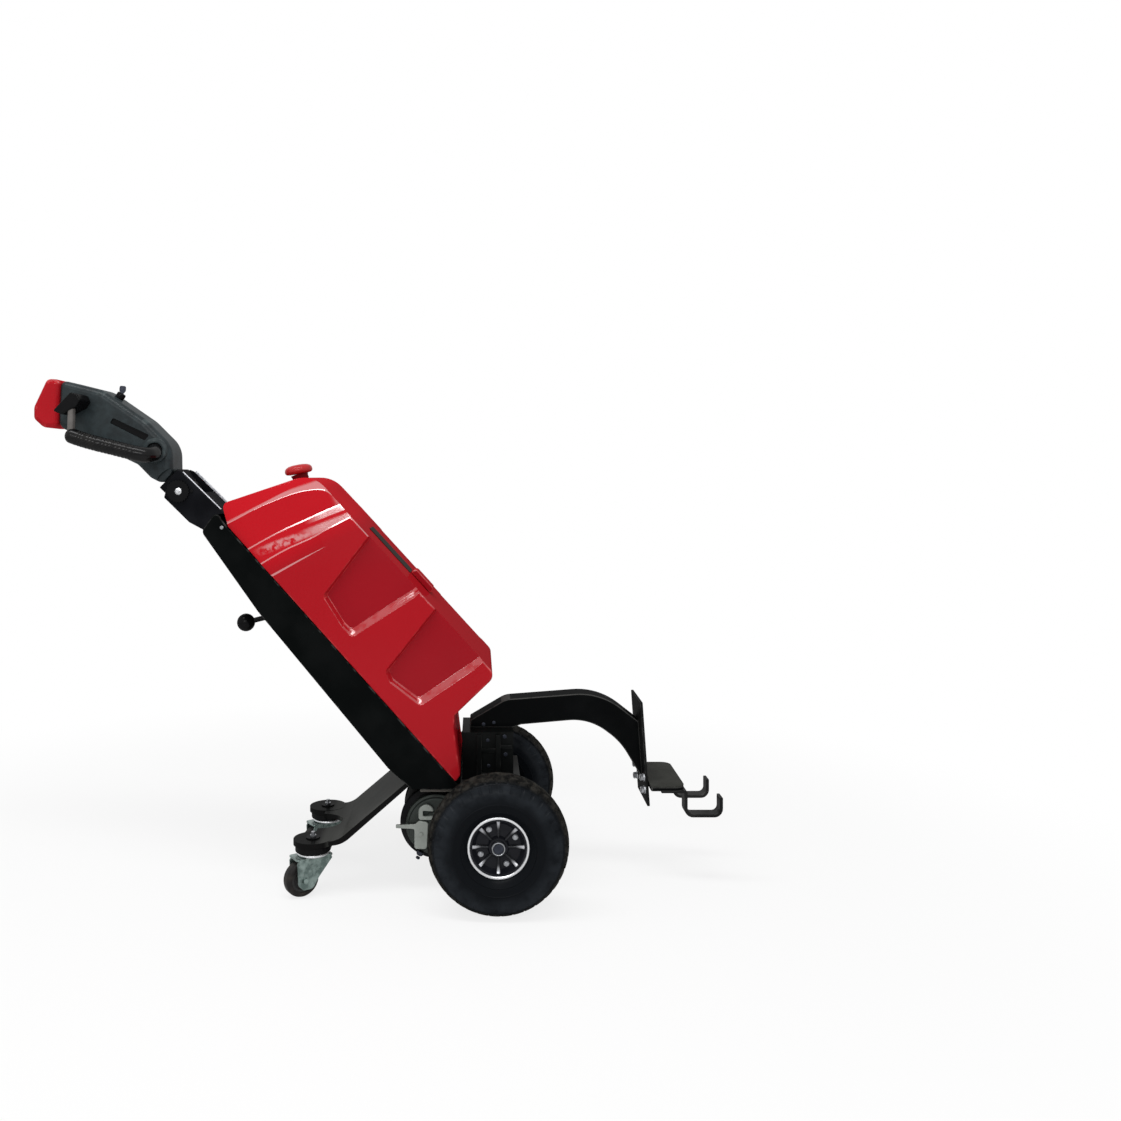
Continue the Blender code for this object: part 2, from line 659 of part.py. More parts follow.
def make_carrier():
    """Bridge of folded plate over the gearbox, which carries the hitch arm."""
    bottom = FRAME_FLOOR_Z
    mesh = box_mesh("carrier", (CARRIER_SPAN[0], -CARRIER_HALF_WIDTH, bottom),
                    (CARRIER_SPAN[1], CARRIER_HALF_WIDTH, CARRIER_TOP))
    carrier = add_part("drive_carrier", mesh, BLACK, 0.45, 0.3)
    inner = CARRIER_HALF_WIDTH - CARRIER_WALL
    start, end = CARRIER_SPAN
    tunnel = box_mesh("tunnel", (start - CUT_REACH, -inner, bottom - CUT_REACH),
                      (end + CUT_REACH, inner, CARRIER_TOP - CARRIER_WALL))
    cut(carrier, add_cutter("carrier_tunnel", tunnel))


def make_gearbox():
    """Gear case between the wheels, with an axle tube to each side."""
    top = FRAME_FLOOR_Z - BASE_PLATE_THICKNESS - 2 * GAP
    low, high = GEARBOX_SPAN
    shoulder, run = GEARBOX_SHOULDER
    rear_radius, front_radius, shoulder_radius = GEARBOX_RADII
    outline = rounded_outline([
        (low, GEARBOX_BOTTOM, rear_radius), (high, GEARBOX_BOTTOM, front_radius),
        (high, shoulder, shoulder_radius), (high - run, top, 0.0), (low, top, 0.0),
    ])
    case = add_part("gearbox", outline_mesh("gearbox", outline, -GEARBOX_HALF_WIDTH,
                                            GEARBOX_HALF_WIDTH), BLACK, 0.5, 0.4)
    start = GEARBOX_HALF_WIDTH - OVERLAP
    end = TRACK / 2 + RIM_WIDTH / 2 - HUB_LENGTH - AXLE_TUBE_GAP
    for side, sign in SIDES:
        tube = rod_mesh("axle_tube", (0, sign * start, TYRE_RADIUS),
                        (0, sign * end, TYRE_RADIUS), AXLE_TUBE_RADIUS)
        fuse(case, add_cutter("axle_tube_" + side, tube))
        bore = rod_mesh("axle_bore", (0, sign * GEARBOX_HALF_WIDTH, TYRE_RADIUS),
                        (0, sign * (end + CUT_REACH), TYRE_RADIUS),
                        AXLE_RADIUS + RUNNING_GAP)
        cut(case, add_cutter("axle_bore_" + side, bore))


def make_motor():
    """Drive motor behind the axle, its brake and the brake's hand release."""
    x, z = MOTOR_PLACE
    near = -MOTOR_HALF_LENGTH
    motor = add_part("drive_motor", rod_mesh("motor", (x, near, z), (x, MOTOR_HALF_LENGTH, z),
                                             MOTOR_RADIUS, 40), BLACK, 0.5, 0.4)
    bevel(motor, MOTOR_EDGE, 2)
    brake_face = near - GAP - BRAKE_THICKNESS
    brake = add_part("motor_brake", rod_mesh("brake", (x, brake_face, z), (x, near - GAP, z),
                                             BRAKE_RADIUS, 40), GREY, 0.4, 0.7)
    bevel(brake, EDGE_TURNED, 1)
    lever = rounded_outline([(x + out, z + up, radius) for out, up, radius in LEVER_CORNERS], 3)
    outer = brake_face - GAP
    add_part("brake_lever", outline_mesh("lever", lever, outer - LEVER_THICKNESS, outer),
             ZINC, 0.35, 0.9)
    front = GEARBOX_SPAN[0] - GAP
    low, high = BRACKET_HEIGHTS
    foot, crest = BRACKET_REACH
    corners = [(front, low), (front, high), (x + crest, high), (x + foot, BRACKET_REAR_TOP),
               (x + foot, low)]
    half = BRACKET_HALF_WIDTH
    bracket = add_part("motor_bracket", outline_mesh("bracket", [Vector(c) for c in corners],
                                                     -half, half), BLACK, 0.5, 0.4)
    reach = half + CUT_REACH
    seat = rod_mesh("motor_seat", (x, -reach, z), (x, reach, z), MOTOR_RADIUS + GAP, 40)
    cut(bracket, add_cutter("motor_seat", seat))


# --- Hitch -----------------------------------------------------------------------------
def make_arm():
    """Bent box arm from the carrier to the hitch plate."""
    back = (HITCH_PLATE_TOP, HITCH_PLATE_BOTTOM)
    high = beside(back, ARM_ON_PLATE[0], -GAP)
    low = beside(back, ARM_ON_PLATE[1], -GAP)
    bottom = CARRIER_TOP + GAP
    corners = [
        (ARM_TOP[0][0], bottom, 0.0), *ARM_TOP, (high.x, high.y, 0.0),
        (low.x, low.y, 0.0), *ARM_UNDERSIDE, (ARM_FOOT_END, bottom, 0.0),
    ]
    arm = add_part("hitch_arm", outline_mesh("arm", rounded_outline(corners), -ARM_HALF_WIDTH,
                                             ARM_HALF_WIDTH), BLACK, 0.45, 0.2)
    bevel(arm, ARM_EDGE, 2, 50)


def make_hitch_plate():
    back = (HITCH_PLATE_TOP, HITCH_PLATE_BOTTOM)
    length = (Vector(back[1]) - Vector(back[0])).length
    corners = strip(back, (0.0, length), 0.0, HITCH_PLATE_THICKNESS)
    plate = add_part("hitch_plate", outline_mesh("hitch_plate", corners, -HITCH_PLATE_HALF_WIDTH,
                                                 HITCH_PLATE_HALF_WIDTH), BLACK, 0.45, 0.2)
    bevel(plate, EDGE_FINE, 1)


def make_platform():
    """Shelf on the front of the hitch plate, with rounded front corners."""
    low = PLATFORM_TOP - PLATFORM_THICKNESS
    back = (HITCH_PLATE_TOP, HITCH_PLATE_BOTTOM)
    start = beside(back, HITCH_PLATE_TOP[1] - low, HITCH_PLATE_THICKNESS + GAP).x
    start += PLATFORM_BACK_GAP
    half = PLATFORM_HALF_WIDTH
    outline = rounded_outline([
        (start, -half, PLATFORM_BACK_CORNER), (PLATFORM_FRONT, -half, PLATFORM_CORNER),
        (PLATFORM_FRONT, half, PLATFORM_CORNER), (start, half, PLATFORM_BACK_CORNER),
    ])
    add_part("platform", outline_mesh("platform", outline, low, PLATFORM_TOP, "plan"),
             GREY, 0.5, 0.3)


def make_hooks():
    """Two bent straps, open at the front, laid under the platform."""
    t = HOOK_THICKNESS
    x = PLATFORM_FRONT + GAP
    top = PLATFORM_TOP - PLATFORM_THICKNESS - GAP
    outer = HOOK_BEND + t
    end = x + HOOK_LENGTH
    wide, tight = HOOK_SHOULDER
    edge, tip = HOOK_EDGES
    corners = [
        (x - HOOK_FLANGE, top, edge), (x + t, top, wide), (x + t, HOOK_BOTTOM + t, HOOK_BEND),
        (end - t, HOOK_BOTTOM + t, HOOK_BEND), (end - t, HOOK_TIP, tip), (end, HOOK_TIP, tip),
        (end, HOOK_BOTTOM, outer), (x, HOOK_BOTTOM, outer), (x, top - t, tight),
        (x - HOOK_FLANGE, top - t, edge),
    ]
    for side, sign in SIDES:
        middle = sign * HOOK_SPACING / 2
        low, high = middle - HOOK_WIDTH / 2, middle + HOOK_WIDTH / 2
        add_part("hook_" + side, outline_mesh("hook", rounded_outline(corners), low, high),
                 BLACK, 0.45, 0.3)


# --- Stand and casters -----------------------------------------------------------------
def make_stand():
    """Bent plate from the frame's foot to the two caster lobes."""
    slope = (STAND_BEND, (STAND_BEND[0] + math.cos(STAND_SLOPE),
                          STAND_BEND[1] + math.sin(STAND_SLOPE)))
    t = STAND_THICKNESS
    flat_low = STAND_FLAT_TOP - t
    under = beside(slope, t * math.tan(STAND_SLOPE / 2), -t)
    top = beside(slope, STAND_LENGTHS[0], 0.0)
    foot = beside(slope, STAND_LENGTHS[1], -t)
    upper_radius, under_radius = STAND_BEND_RADII
    corners = [
        (top.x, top.y, 0.0), (*STAND_BEND, upper_radius), (SWIVEL_X, STAND_FLAT_TOP, 0.0),
        (SWIVEL_X, flat_low, 0.0), (under.x, flat_low, under_radius), (foot.x, foot.y, 0.0),
    ]
    stand = add_part("stand_plate", outline_mesh("stand", rounded_outline(corners),
                                                 -STAND_HALF_WIDTH, STAND_HALF_WIDTH),
                     GREY, 0.5, 0.3)
    for side, sign in SIDES:
        middle = sign * CASTER_SPACING / 2
        lobe = rod_mesh("lobe", (SWIVEL_X, middle, LOBE_BOTTOM), (SWIVEL_X, middle, LOBE_TOP),
                        LOBE_RADIUS, 32)
        fuse(stand, add_cutter("lobe_" + side, lobe))
    notch = rod_mesh("notch", (SWIVEL_X, 0, flat_low - CUT_REACH),
                     (SWIVEL_X, 0, LOBE_TOP + CUT_REACH), STAND_NOTCH_RADIUS, 36)
    cut(stand, add_cutter("stand_notch", notch))


def make_caster(side, sign):
    """Swivel bearing, fork and wheel; the fork and wheel hang on their own empties."""
    middle = sign * CASTER_SPACING / 2
    socket_top = LOBE_BOTTOM - GAP
    socket = add_part("caster_socket_" + side,
                      rod_mesh("socket", (SWIVEL_X, middle, SOCKET_BOTTOM),
                               (SWIVEL_X, middle, socket_top), SOCKET_RADIUS, 36),
                      BLACK, 0.5, 0.2)
    bevel(socket, EDGE_TURNED, 1)
    swivel = bpy.data.objects.new("swivel_" + side, None)
    swivel.location = (SWIVEL_X, middle, 0.0)
    swivel.rotation_euler.z = CASTER_ANGLES[side]
    swivel.parent = ROOT
    PARTS.objects.link(swivel)
    inner = CASTER_WIDTH / 2 + FORK_SIDE_GAP
    outer = inner + FORK_THICKNESS
    inside_plate = (FORK_TOP[0] + FORK_TOP[1]) / 2
    crown = rod_mesh("crown", (0, 0, inside_plate), (0, 0, SOCKET_BOTTOM - RUNNING_GAP),
                     CROWN_RADIUS, 36)
    fork = add_part("caster_fork_" + side, crown, ZINC, 0.35, 0.9, swivel)
    rear, front = FORK_LEG[0][0], FORK_LEG[-1][0]
    edge = outer + FORK_LIP
    rear_lip, front_lip, corner = rear - FORK_LIP, front + FORK_LIP, FORK_SIDE_GAP
    plan = rounded_outline([(rear_lip, -edge, corner), (front_lip, -edge, corner),
                            (front_lip, edge, corner), (rear_lip, edge, corner)])
    plate = add_cutter("fork_plate_" + side, outline_mesh("plate", plan, *FORK_TOP, "plan"))
    plate.parent = swivel
    fuse(fork, plate)
    leg = rounded_outline([(front - corner, inside_plate, 0.0), (rear + corner, inside_plate, 0.0),
                           *FORK_LEG], 3)
    for number, (low, high) in enumerate(((-outer, -inner), (inner, outer))):
        name = f"fork_leg_{side}_{number}"
        mesh = add_cutter(name, outline_mesh(name, leg, low, high))
        mesh.parent = swivel
        fuse(fork, mesh)
    reach = outer + PIN_END
    pin = add_cutter("fork_pin_" + side,
                     rod_mesh("pin", (-CASTER_TRAIL, -reach, CASTER_RADIUS),
                              (-CASTER_TRAIL, reach, CASTER_RADIUS), PIN_RADIUS, 16))
    pin.parent = swivel
    fuse(fork, pin)
    half = CASTER_WIDTH / 2
    bore = PIN_RADIUS + RUNNING_GAP
    place = (-CASTER_TRAIL, 0, CASTER_RADIUS)
    boss_foot, boss_end = CASTER_BOSS_RADII
    side_face = half - CASTER_HUB_RECESS
    end_face = half + CASTER_BOSS_END
    hub = [(CASTER_HUB_RADIUS, side_face), (CASTER_HUB_RADIUS, -side_face),
           (boss_foot, -side_face), (boss_end, -end_face), (bore, -end_face),
           (bore, end_face), (boss_end, end_face), (boss_foot, side_face)]
    turned("caster_wheel_" + side, hub, place, (0, 1, 0), GREY, 0.5, 0.0, 24, swivel)
    tread = rounded_outline([
        (CASTER_RADIUS, half, CASTER_TREAD_ROUND), (CASTER_HUB_RADIUS + GAP, half, 0.0),
        (CASTER_HUB_RADIUS + GAP, -half, 0.0), (CASTER_RADIUS, -half, CASTER_TREAD_ROUND),
    ], 2)
    turned("caster_tyre_" + side, tread[::-1], place, (0, 1, 0), RUBBER, 0.7, 0.0, 32, swivel)


def make_release_knob():
    """Ball knob under the frame, on a short stem that ends flat on the tray's back."""
    foot = beside(TRAY_BACK, KNOB_STEM_START, FRAME_WALL)
    x, z = KNOB_PLACE
    stem = rod_mesh("stem", (foot.x, 0, foot.y), (x, 0, z), KNOB_STEM_RADIUS, 16)
    knob = add_part("release_knob", stem, BLACK, 0.4, 0.0)
    made = bmesh.new()
    bmesh.ops.create_uvsphere(made, u_segments=24, v_segments=14, radius=KNOB_RADIUS)
    bmesh.ops.translate(made, vec=(x, 0, z), verts=made.verts)
    mesh = bpy.data.meshes.new("ball")
    made.to_mesh(mesh)
    made.free()
    fuse(knob, add_cutter("knob_ball", mesh))
    behind = strip(TRAY_BACK, (0.0, 2 * KNOB_STEM_START), -GAP, CUT_REACH)
    reach = KNOB_STEM_RADIUS + CUT_REACH
    cut(knob, add_cutter("knob_trim", outline_mesh("knob_trim", behind, -reach, reach)))


# --- Tiller ----------------------------------------------------------------------------
def make_sleeve():
    """Box sleeve in the frame's mouth; its two ears hold the tiller's pivot."""
    sleeve = add_part("handle_sleeve", outline_mesh("sleeve", sleeve_points(),
                                                    -SLEEVE_HALF_WIDTH, SLEEVE_HALF_WIDTH),
                      BLACK, 0.45, 0.2)
    inner = SLEEVE_HALF_WIDTH - SLEEVE_WALL
    slot = strip(SLEEVE_LINE, SLOT_SPAN, -SLOT_DEPTH, CUT_REACH)
    cut(sleeve, add_cutter("sleeve_slot", outline_mesh("slot", slot, -inner, inner)))
    x, z = PIVOT_PLACE
    reach = SLEEVE_HALF_WIDTH + CUT_REACH
    bore = rod_mesh("pivot_bore", (x, -reach, z), (x, reach, z), PIVOT_RADIUS + RUNNING_GAP, 24)
    cut(sleeve, add_cutter("pivot_bore", bore))


def make_neck():
    """Tongue of the tiller between the sleeve's ears, with its pivot pin."""
    x, z = PIVOT_PLACE
    half = TONGUE_HALF_WIDTH
    shank = [beside(SLEEVE_LINE, along, out) for along, out in TONGUE_SHANK]
    neck = add_part("handle_neck", outline_mesh("neck", shank, -half, half), BLACK, 0.45, 0.2)
    round_end = rod_mesh("neck_end", (x, -half, z), (x, half, z), TONGUE_RADIUS, 36)
    fuse(neck, add_cutter("neck_end", round_end))
    reach = SLEEVE_HALF_WIDTH + PIVOT_END
    pin = rod_mesh("pivot_pin", (x, -reach, z), (x, reach, z), PIVOT_RADIUS, 24)
    fuse(neck, add_cutter("pivot_pin", pin))


def make_head():
    """Moulded head with the controls, and the red reversing button on its end."""
    (top_x, top_z), (low_x, low_z) = CAP_LINE
    outline = rounded_outline([(top_x, top_z, 0.0), *HEAD_CORNERS, (low_x, low_z, 0.0)])
    head = add_part("tiller_head", outline_mesh("head", outline, -HEAD_HALF_WIDTH,
                                                HEAD_HALF_WIDTH), HEAD_GREY, 0.45, 0.0)
    bevel(head, HEAD_EDGE, 3, 60)
    x, z = PIVOT_PLACE
    for side, sign in SIDES:
        start = sign * TONGUE_HALF_WIDTH
        end = sign * (HEAD_HALF_WIDTH + CUT_REACH)
        relief = rod_mesh("relief", (x, start, z), (x, end, z), EAR_CLEARANCE_RADIUS, 48)
        cut(head, add_cutter("ear_relief_" + side, relief))
    cap = rounded_outline([(top_x - GAP, top_z, 0.0), (low_x - GAP, low_z, 0.0), *CAP_CORNERS])
    half = HEAD_HALF_WIDTH - CAP_INSET
    button = add_part("end_button", outline_mesh("cap", cap, -half, half), RED, 0.3, 0.0)
    bevel(button, CAP_EDGE, 3, 60)
    crown = (HEAD_CORNERS[0][:2], HEAD_CORNERS[1][:2])
    foot = beside(crown, KEY_PLACE, GAP)
    tip = beside(crown, KEY_PLACE, KEY_HEIGHT)
    key = rod_mesh("key", (foot.x, 0, foot.y), (tip.x, 0, tip.y), KEY_RADIUS, 20,
                   KEY_RADIUS * KEY_TAPER)
    add_part("key_switch", key, BLACK, 0.4, 0.3)


def smooth_route(points, steps=3):
    """Catmull-Rom points through a route."""
    route = [Vector(point) for point in points]
    route = [route[0] * 2 - route[1]] + route + [route[-1] * 2 - route[-2]]
    made = []
    for index in range(1, len(route) - 2):
        a, b, c, d = route[index - 1:index + 3]
        for step in range(steps):
            t = step / steps
            made.append(0.5 * ((2 * b) + (c - a) * t + (2 * a - 5 * b + 4 * c - d) * t * t
                               + (3 * b - a - 3 * c + d) * t ** 3))
    made.append(route[-2])
    return made


def make_grips():
    """Closed hand loop on each side of the head, with a thumb lever at its upper end."""
    for side, sign in SIDES:
        route = [(x, sign * lateral, z) for x, lateral, z in GRIP_ROUTE]
        mesh = tube_mesh("grip", smooth_route(route), GRIP_RADIUS)
        grip = add_part("grip_" + side, mesh, BLACK, 0.6, 0.0)
        start = HEAD_HALF_WIDTH + GAP
        low, high = sorted((0.0, sign * start))
        places = [(x, z) for x, _, z in GRIP_ROUTE]
        rear, front = min(places)[0] - OPEN_REACH, max(places)[0] + OPEN_REACH
        under, over = GRIP_ROUTE[2][2] - OPEN_REACH, GRIP_ROUTE[-1][2] + OPEN_REACH
        trim = box_mesh("grip_trim", (rear, low, under), (front, high, over))
        cut(grip, add_cutter("grip_trim_" + side, trim))


def make_model():
    for side, sign in SIDES:
        lateral = sign * TRACK / 2
        make_tyre(side, lateral)
        make_rim(side, lateral, sign)
        make_axle(side, sign)
    make_frame()
    make_cover()
    make_stop_button()
    make_battery()
    make_base_plate()
    make_carrier()
    make_gearbox()
    make_motor()
    make_arm()
    make_hitch_plate()
    make_platform()
    make_hooks()
    make_stand()
    for side, sign in SIDES:
        make_caster(side, sign)
    make_release_knob()
    make_sleeve()
    make_neck()
    make_head()
    make_grips()


make_model()
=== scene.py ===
from math import asin, cos, degrees, pi, radians, sin, sqrt, tan, tau

import bmesh
import bpy
from mathutils import Matrix, Vector


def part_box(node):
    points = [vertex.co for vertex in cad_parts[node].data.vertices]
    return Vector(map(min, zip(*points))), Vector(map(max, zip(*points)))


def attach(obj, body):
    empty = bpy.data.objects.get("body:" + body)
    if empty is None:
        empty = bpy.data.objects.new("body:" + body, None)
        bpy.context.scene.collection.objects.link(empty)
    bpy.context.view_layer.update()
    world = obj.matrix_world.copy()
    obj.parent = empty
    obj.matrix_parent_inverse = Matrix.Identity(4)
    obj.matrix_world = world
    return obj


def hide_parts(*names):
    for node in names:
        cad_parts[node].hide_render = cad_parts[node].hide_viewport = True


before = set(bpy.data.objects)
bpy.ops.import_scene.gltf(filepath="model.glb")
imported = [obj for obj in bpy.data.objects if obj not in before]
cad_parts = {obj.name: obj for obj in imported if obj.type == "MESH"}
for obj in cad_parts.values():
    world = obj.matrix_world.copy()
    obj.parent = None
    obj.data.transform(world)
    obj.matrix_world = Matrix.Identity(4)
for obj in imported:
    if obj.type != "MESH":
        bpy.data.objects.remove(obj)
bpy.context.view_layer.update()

# --- Studio --------------------------------------------------------------------------
# A pale floor that fades into a white room, one large soft box overhead, a weaker one in
# front, and a level camera beside the tug at the height of its cover.
axle_low, axle_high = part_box("axle_near")
axle_x = (axle_low.x + axle_high.x) / 2
axle_height = (axle_low.z + axle_high.z) / 2


def new_object(name, data):
    """An object in the scene."""
    made = bpy.data.objects.new(name, data)
    bpy.context.scene.collection.objects.link(made)
    return made


eye = bpy.data.cameras.new("eye")
eye.sensor_width = 36
eye.lens = 34
eye.shift_x = 0.0736
eye.shift_y = -0.0754
camera = new_object("eye", eye)
camera.location = (axle_x - 0.0413, -2.391, 0.8966)
camera.rotation_euler.x = radians(90)
bpy.context.scene.camera = camera
bpy.context.scene.view_settings.view_transform = "Standard"


def soft_box(name, place, target, size, power):
    lamp = bpy.data.lights.new(name, "AREA")
    lamp.shape = "RECTANGLE"
    lamp.size, lamp.size_y = size
    lamp.energy = power
    holder = new_object(name, lamp)
    holder.location = place
    aim = Vector(target) - Vector(place)
    holder.rotation_euler = aim.to_track_quat("-Z", "Y").to_euler()


soft_box("soft_top", (-0.4, -0.9, 3), (-0.2, 0, 0.6), (2.8, 0.55), 42)
soft_box("soft_band", (-0.3, -3.4, 2.05), (-0.3, 0, 0.75), (2.8, 0.45), 36)


class Wire:
    """A socket in a material's nodes. Arithmetic on it adds Math nodes, and node() adds
    any other kind: its settings go in first, then the values or wires of its sockets."""

    def __init__(self, socket):
        self.socket = socket

    def node(self, kind, settings=None, sockets=None, output=0):
        tree = self.socket.id_data
        made = tree.nodes.new("ShaderNode" + kind)
        for key, value in (settings or {}).items():
            setattr(made, key, value)
        for key, value in (sockets or {}).items():
            if isinstance(value, Wire):
                tree.links.new(value.socket, made.inputs[key])
            else:
                made.inputs[key].default_value = value
        return Wire(made.outputs[output])

    def maths(self, operation, *values):
        return self.node("Math", {"operation": operation}, dict(enumerate(values)))

    def __add__(self, other):
        return self.maths("ADD", self, other)

    __radd__ = __add__

    def __mul__(self, other):
        return self.maths("MULTIPLY", self, other)

    __rmul__ = __mul__

    def __sub__(self, other):
        return self.maths("SUBTRACT", self, other)

    def __rsub__(self, other):
        return self.maths("SUBTRACT", other, self)

    def ease(self, start, end):
        """0 below start, 1 above end, and smooth between them."""
        return self.node("MapRange", {"interpolation_type": "SMOOTHSTEP"},
                         {"Value": self, "From Min": start, "From Max": end})

    def noise(self, scale, detail=2):
        return self.node("TexNoise", {}, {"Vector": self, "Scale": scale, "Detail": detail})

    def facing(self):
        """The way the surface looks, in the piece's own frame."""
        return self.node("TexCoord", {}, output=1)

    def along(self, line):
        """How far this vector goes along a line."""
        return self.node("VectorMath", {"operation": "DOT_PRODUCT"}, {0: self, 1: line}, 1)

    def reach(self, share=(1, 1, 1), shift=(0, 0, 0)):
        """Length of this vector once its parts are scaled and shifted."""
        scaled = self.node("VectorMath", {"operation": "MULTIPLY_ADD"},
                           {0: self, 1: share, 2: shift})
        return self.node("VectorMath", {"operation": "LENGTH"}, {0: scaled}, 1)

    def mix(self, first, second):
        """Colour that goes from the first to the second as this value rises."""
        pair = [(*one, 1) if isinstance(one, tuple) else one for one in (first, second)]
        return self.node("Mix", {"data_type": "RGBA"}, {0: self, 6: pair[0], 7: pair[1]}, 2)

    def bump(self, depth):
        """Normal from this value as a height, in metres from 0 to 1."""
        return self.node("Bump", {}, {"Height": self, "Distance": depth, "Strength": 1})


def new_finish(name):
    """A material and the wire of its object coordinates."""
    made = bpy.data.materials.new(name)
    made.use_nodes = True
    place = made.node_tree.nodes.new("ShaderNodeTexCoord").outputs["Object"]
    return made, Wire(place)


def dress(made, coat=None, **sockets):
    """Set or link the shader's sockets; a space in a socket's name is written as _. A coat
    is a weight and a roughness, and stands in for the shine of the base."""
    if coat:
        sockets.update(Specular_IOR_Level=0, Coat_Weight=coat[0], Coat_Roughness=coat[1])
    shader = made.node_tree.nodes["Principled BSDF"]
    for name, value in sockets.items():
        socket = shader.inputs[name.replace("_", " ")]
        if isinstance(value, Wire):
            made.node_tree.links.new(value.socket, socket)
        else:
            socket.default_value = (*value, 1) if isinstance(value, tuple) else value
    return made


floor_mesh = bpy.data.meshes.new("floor")
FLOOR_REACH = 9
floor_mesh.from_pydata([(x * FLOOR_REACH, y * FLOOR_REACH, 0) for x, y in
                        ((-1, -1), (1, -1), (1, 1), (-1, 1))], [], [(0, 1, 2, 3)])
floor = new_object("floor", floor_mesh)
floor.location.z = -0.0005
floor_paint, place = new_finish("floor_paint")
apart = place.reach()
seen = place.node("LightPath")
paleness = (apart.ease(0.8, 2) * 0.22 + 0.78) * seen
tree = floor_paint.node_tree
glow = place.node("Emission", {}, {"Color": (1, 1, 1, 1), "Strength": 1})
dress(floor_paint, Base_Color=(0.93, 0.93, 0.93), Roughness=0.8)
blend = place.node("MixShader", {}, {0: paleness, 2: glow,
                                     1: Wire(tree.nodes["Principled BSDF"].outputs[0])})
tree.links.new(blend.socket, tree.nodes["Material Output"].inputs["Surface"])
floor_mesh.materials.append(floor_paint)

room = bpy.data.worlds.new("room")
bpy.context.scene.world = room
room.use_nodes = True
sky = room.node_tree.nodes["Background"]
sky.inputs["Color"].default_value = (1, 1, 1, 1)
start = Wire(sky.outputs[0])
path = start.node("LightPath")
glossy = Wire(path.socket.node.outputs["Is Glossy Ray"])
shown = path.maths("MAXIMUM", path, glossy)
room_light = 0.5
room.node_tree.links.new((shown * (1 - room_light) + room_light).socket, sky.inputs["Strength"])


# --- Drive wheels ----------------------------------------------------------------------
# Two black pneumatic tyres on dished rims. The tread is moulded in rows of small blocks,
# and the sidewall has thin raised rings round the bead.
SIDES = (("near", -1), ("far", 1))
EDGE_BROAD = 0.0022


def add_piece(name, made, finish, slot, *nodes, body="chassis", smooth=40):
    """Make a piece from a solid built about the axle's floor point; it rides on its body."""
    mesh = mesh_of(name, made)
    mesh.materials.append(finish)
    mesh.shade_smooth()
    mesh.set_sharp_from_angle(angle=radians(smooth))
    mark_edges(mesh)
    piece = new_object(name, mesh)
    piece.location.x = axle_x
    piece.modifiers.new("even", "WEIGHTED_NORMAL").keep_sharp = True
    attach(piece, body)
    if nodes:
        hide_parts(*nodes)


def mesh_of(name, made):
    """Mesh of a solid, its faces turned outward; the solid is used up."""
    mesh = bpy.data.meshes.new(name)
    bmesh.ops.recalc_face_normals(made, faces=made.faces)
    made.to_mesh(mesh)
    made.free()
    return mesh


def mark_edges(mesh):
    """Give each point a value: 1 on a narrow bevel between faces, 0 on broad faces."""
    broad = set()
    for face in mesh.polygons:
        ring = [mesh.vertices[corner].co for corner in face.vertices]
        round_it = sum((ring[index - 1] - ring[index]).length for index in range(len(ring)))
        if 2 * face.area > EDGE_BROAD * round_it:
            broad.update(face.vertices)
    rub = mesh.attributes.new("rub", "FLOAT", "POINT")
    for index, item in enumerate(rub.data):
        item.value = 0 if index in broad else 1


def skinned(rings, closed=False):
    """Solid from rings of points, each joined to the next. The two end rings are filled,
    or joined to each other when the rings close."""
    made = bmesh.new()
    rows = [[made.verts.new(point) for point in ring] for ring in rings]
    if closed:
        rows.append(rows[0])
    else:
        made.faces.new(rows[0])
        made.faces.new(rows[-1][::-1])
    for one, two in zip(rows, rows[1:]):
        for k in range(len(one)):
            made.faces.new((one[k - 1], two[k - 1], two[k], one[k]))
    bmesh.ops.recalc_face_normals(made, faces=made.faces)
    return made


def lathe(profile, steps, shape=None):
    """Turn a closed (radius, height) profile about Y; shape may move each point."""
    rings = []
    for index in range(steps):
        angle = tau * index / steps
        points = [shape(angle, *point) for point in profile] if shape else profile
        rings.append([(radius * cos(angle), height, radius * sin(angle))
                      for radius, height in points])
    return skinned(rings, closed=True)


def mirrored(half, between=()):
    """A profile's mirror image, what lies between, and the profile itself."""
    return [(radius, -height) for radius, height in reversed(half)] + [*between, *half]


def moved(made, place, turn=Matrix()):
    """Turn a solid, then move it."""
    bmesh.ops.transform(made, matrix=Matrix.Translation(place) @ turn, verts=made.verts)
    return made


TYRE_RADIUS = 0.145
TYRE_HALF = 0.045
TRACK_HALF = 0.228
RIM_OUTER = 0.063
BELLY = 0.045
BLOCKS = 36
CORE = 0.0005  # radius at which a turned solid is closed about its axis

rubber, place = new_finish("tyre_rubber")
from_axle = place.reach((1, 0, 1), (0, 0, -axle_height))
on_tread = from_axle.ease(0.131, 0.139)
mottle = place.noise(85, 4).ease(0.35, 0.7)
# Painted sheen and shade: the sidewall is darker by the rim and has a paler bluish band on its
# bulge.
painted_sheen_band = from_axle.ease(0.088, 0.118) * from_axle.ease(0.138, 0.126)
painted_sheen_band = painted_sheen_band * place.noise(22, 4).ease(0.25, 0.65)
sidewall_tone = painted_sheen_band.mix((0.0046, 0.0056, 0.007), (0.0175, 0.0205, 0.0245))
dusty = mottle.mix((0.006, 0.006, 0.0058), (0.03, 0.028, 0.024))
dress(rubber, Base_Color=on_tread.mix(sidewall_tone, dusty), Roughness=on_tread * 0.25 + 0.4,
      Normal=place.noise(900).bump(0.0002), coat=(0.07, 0.3))


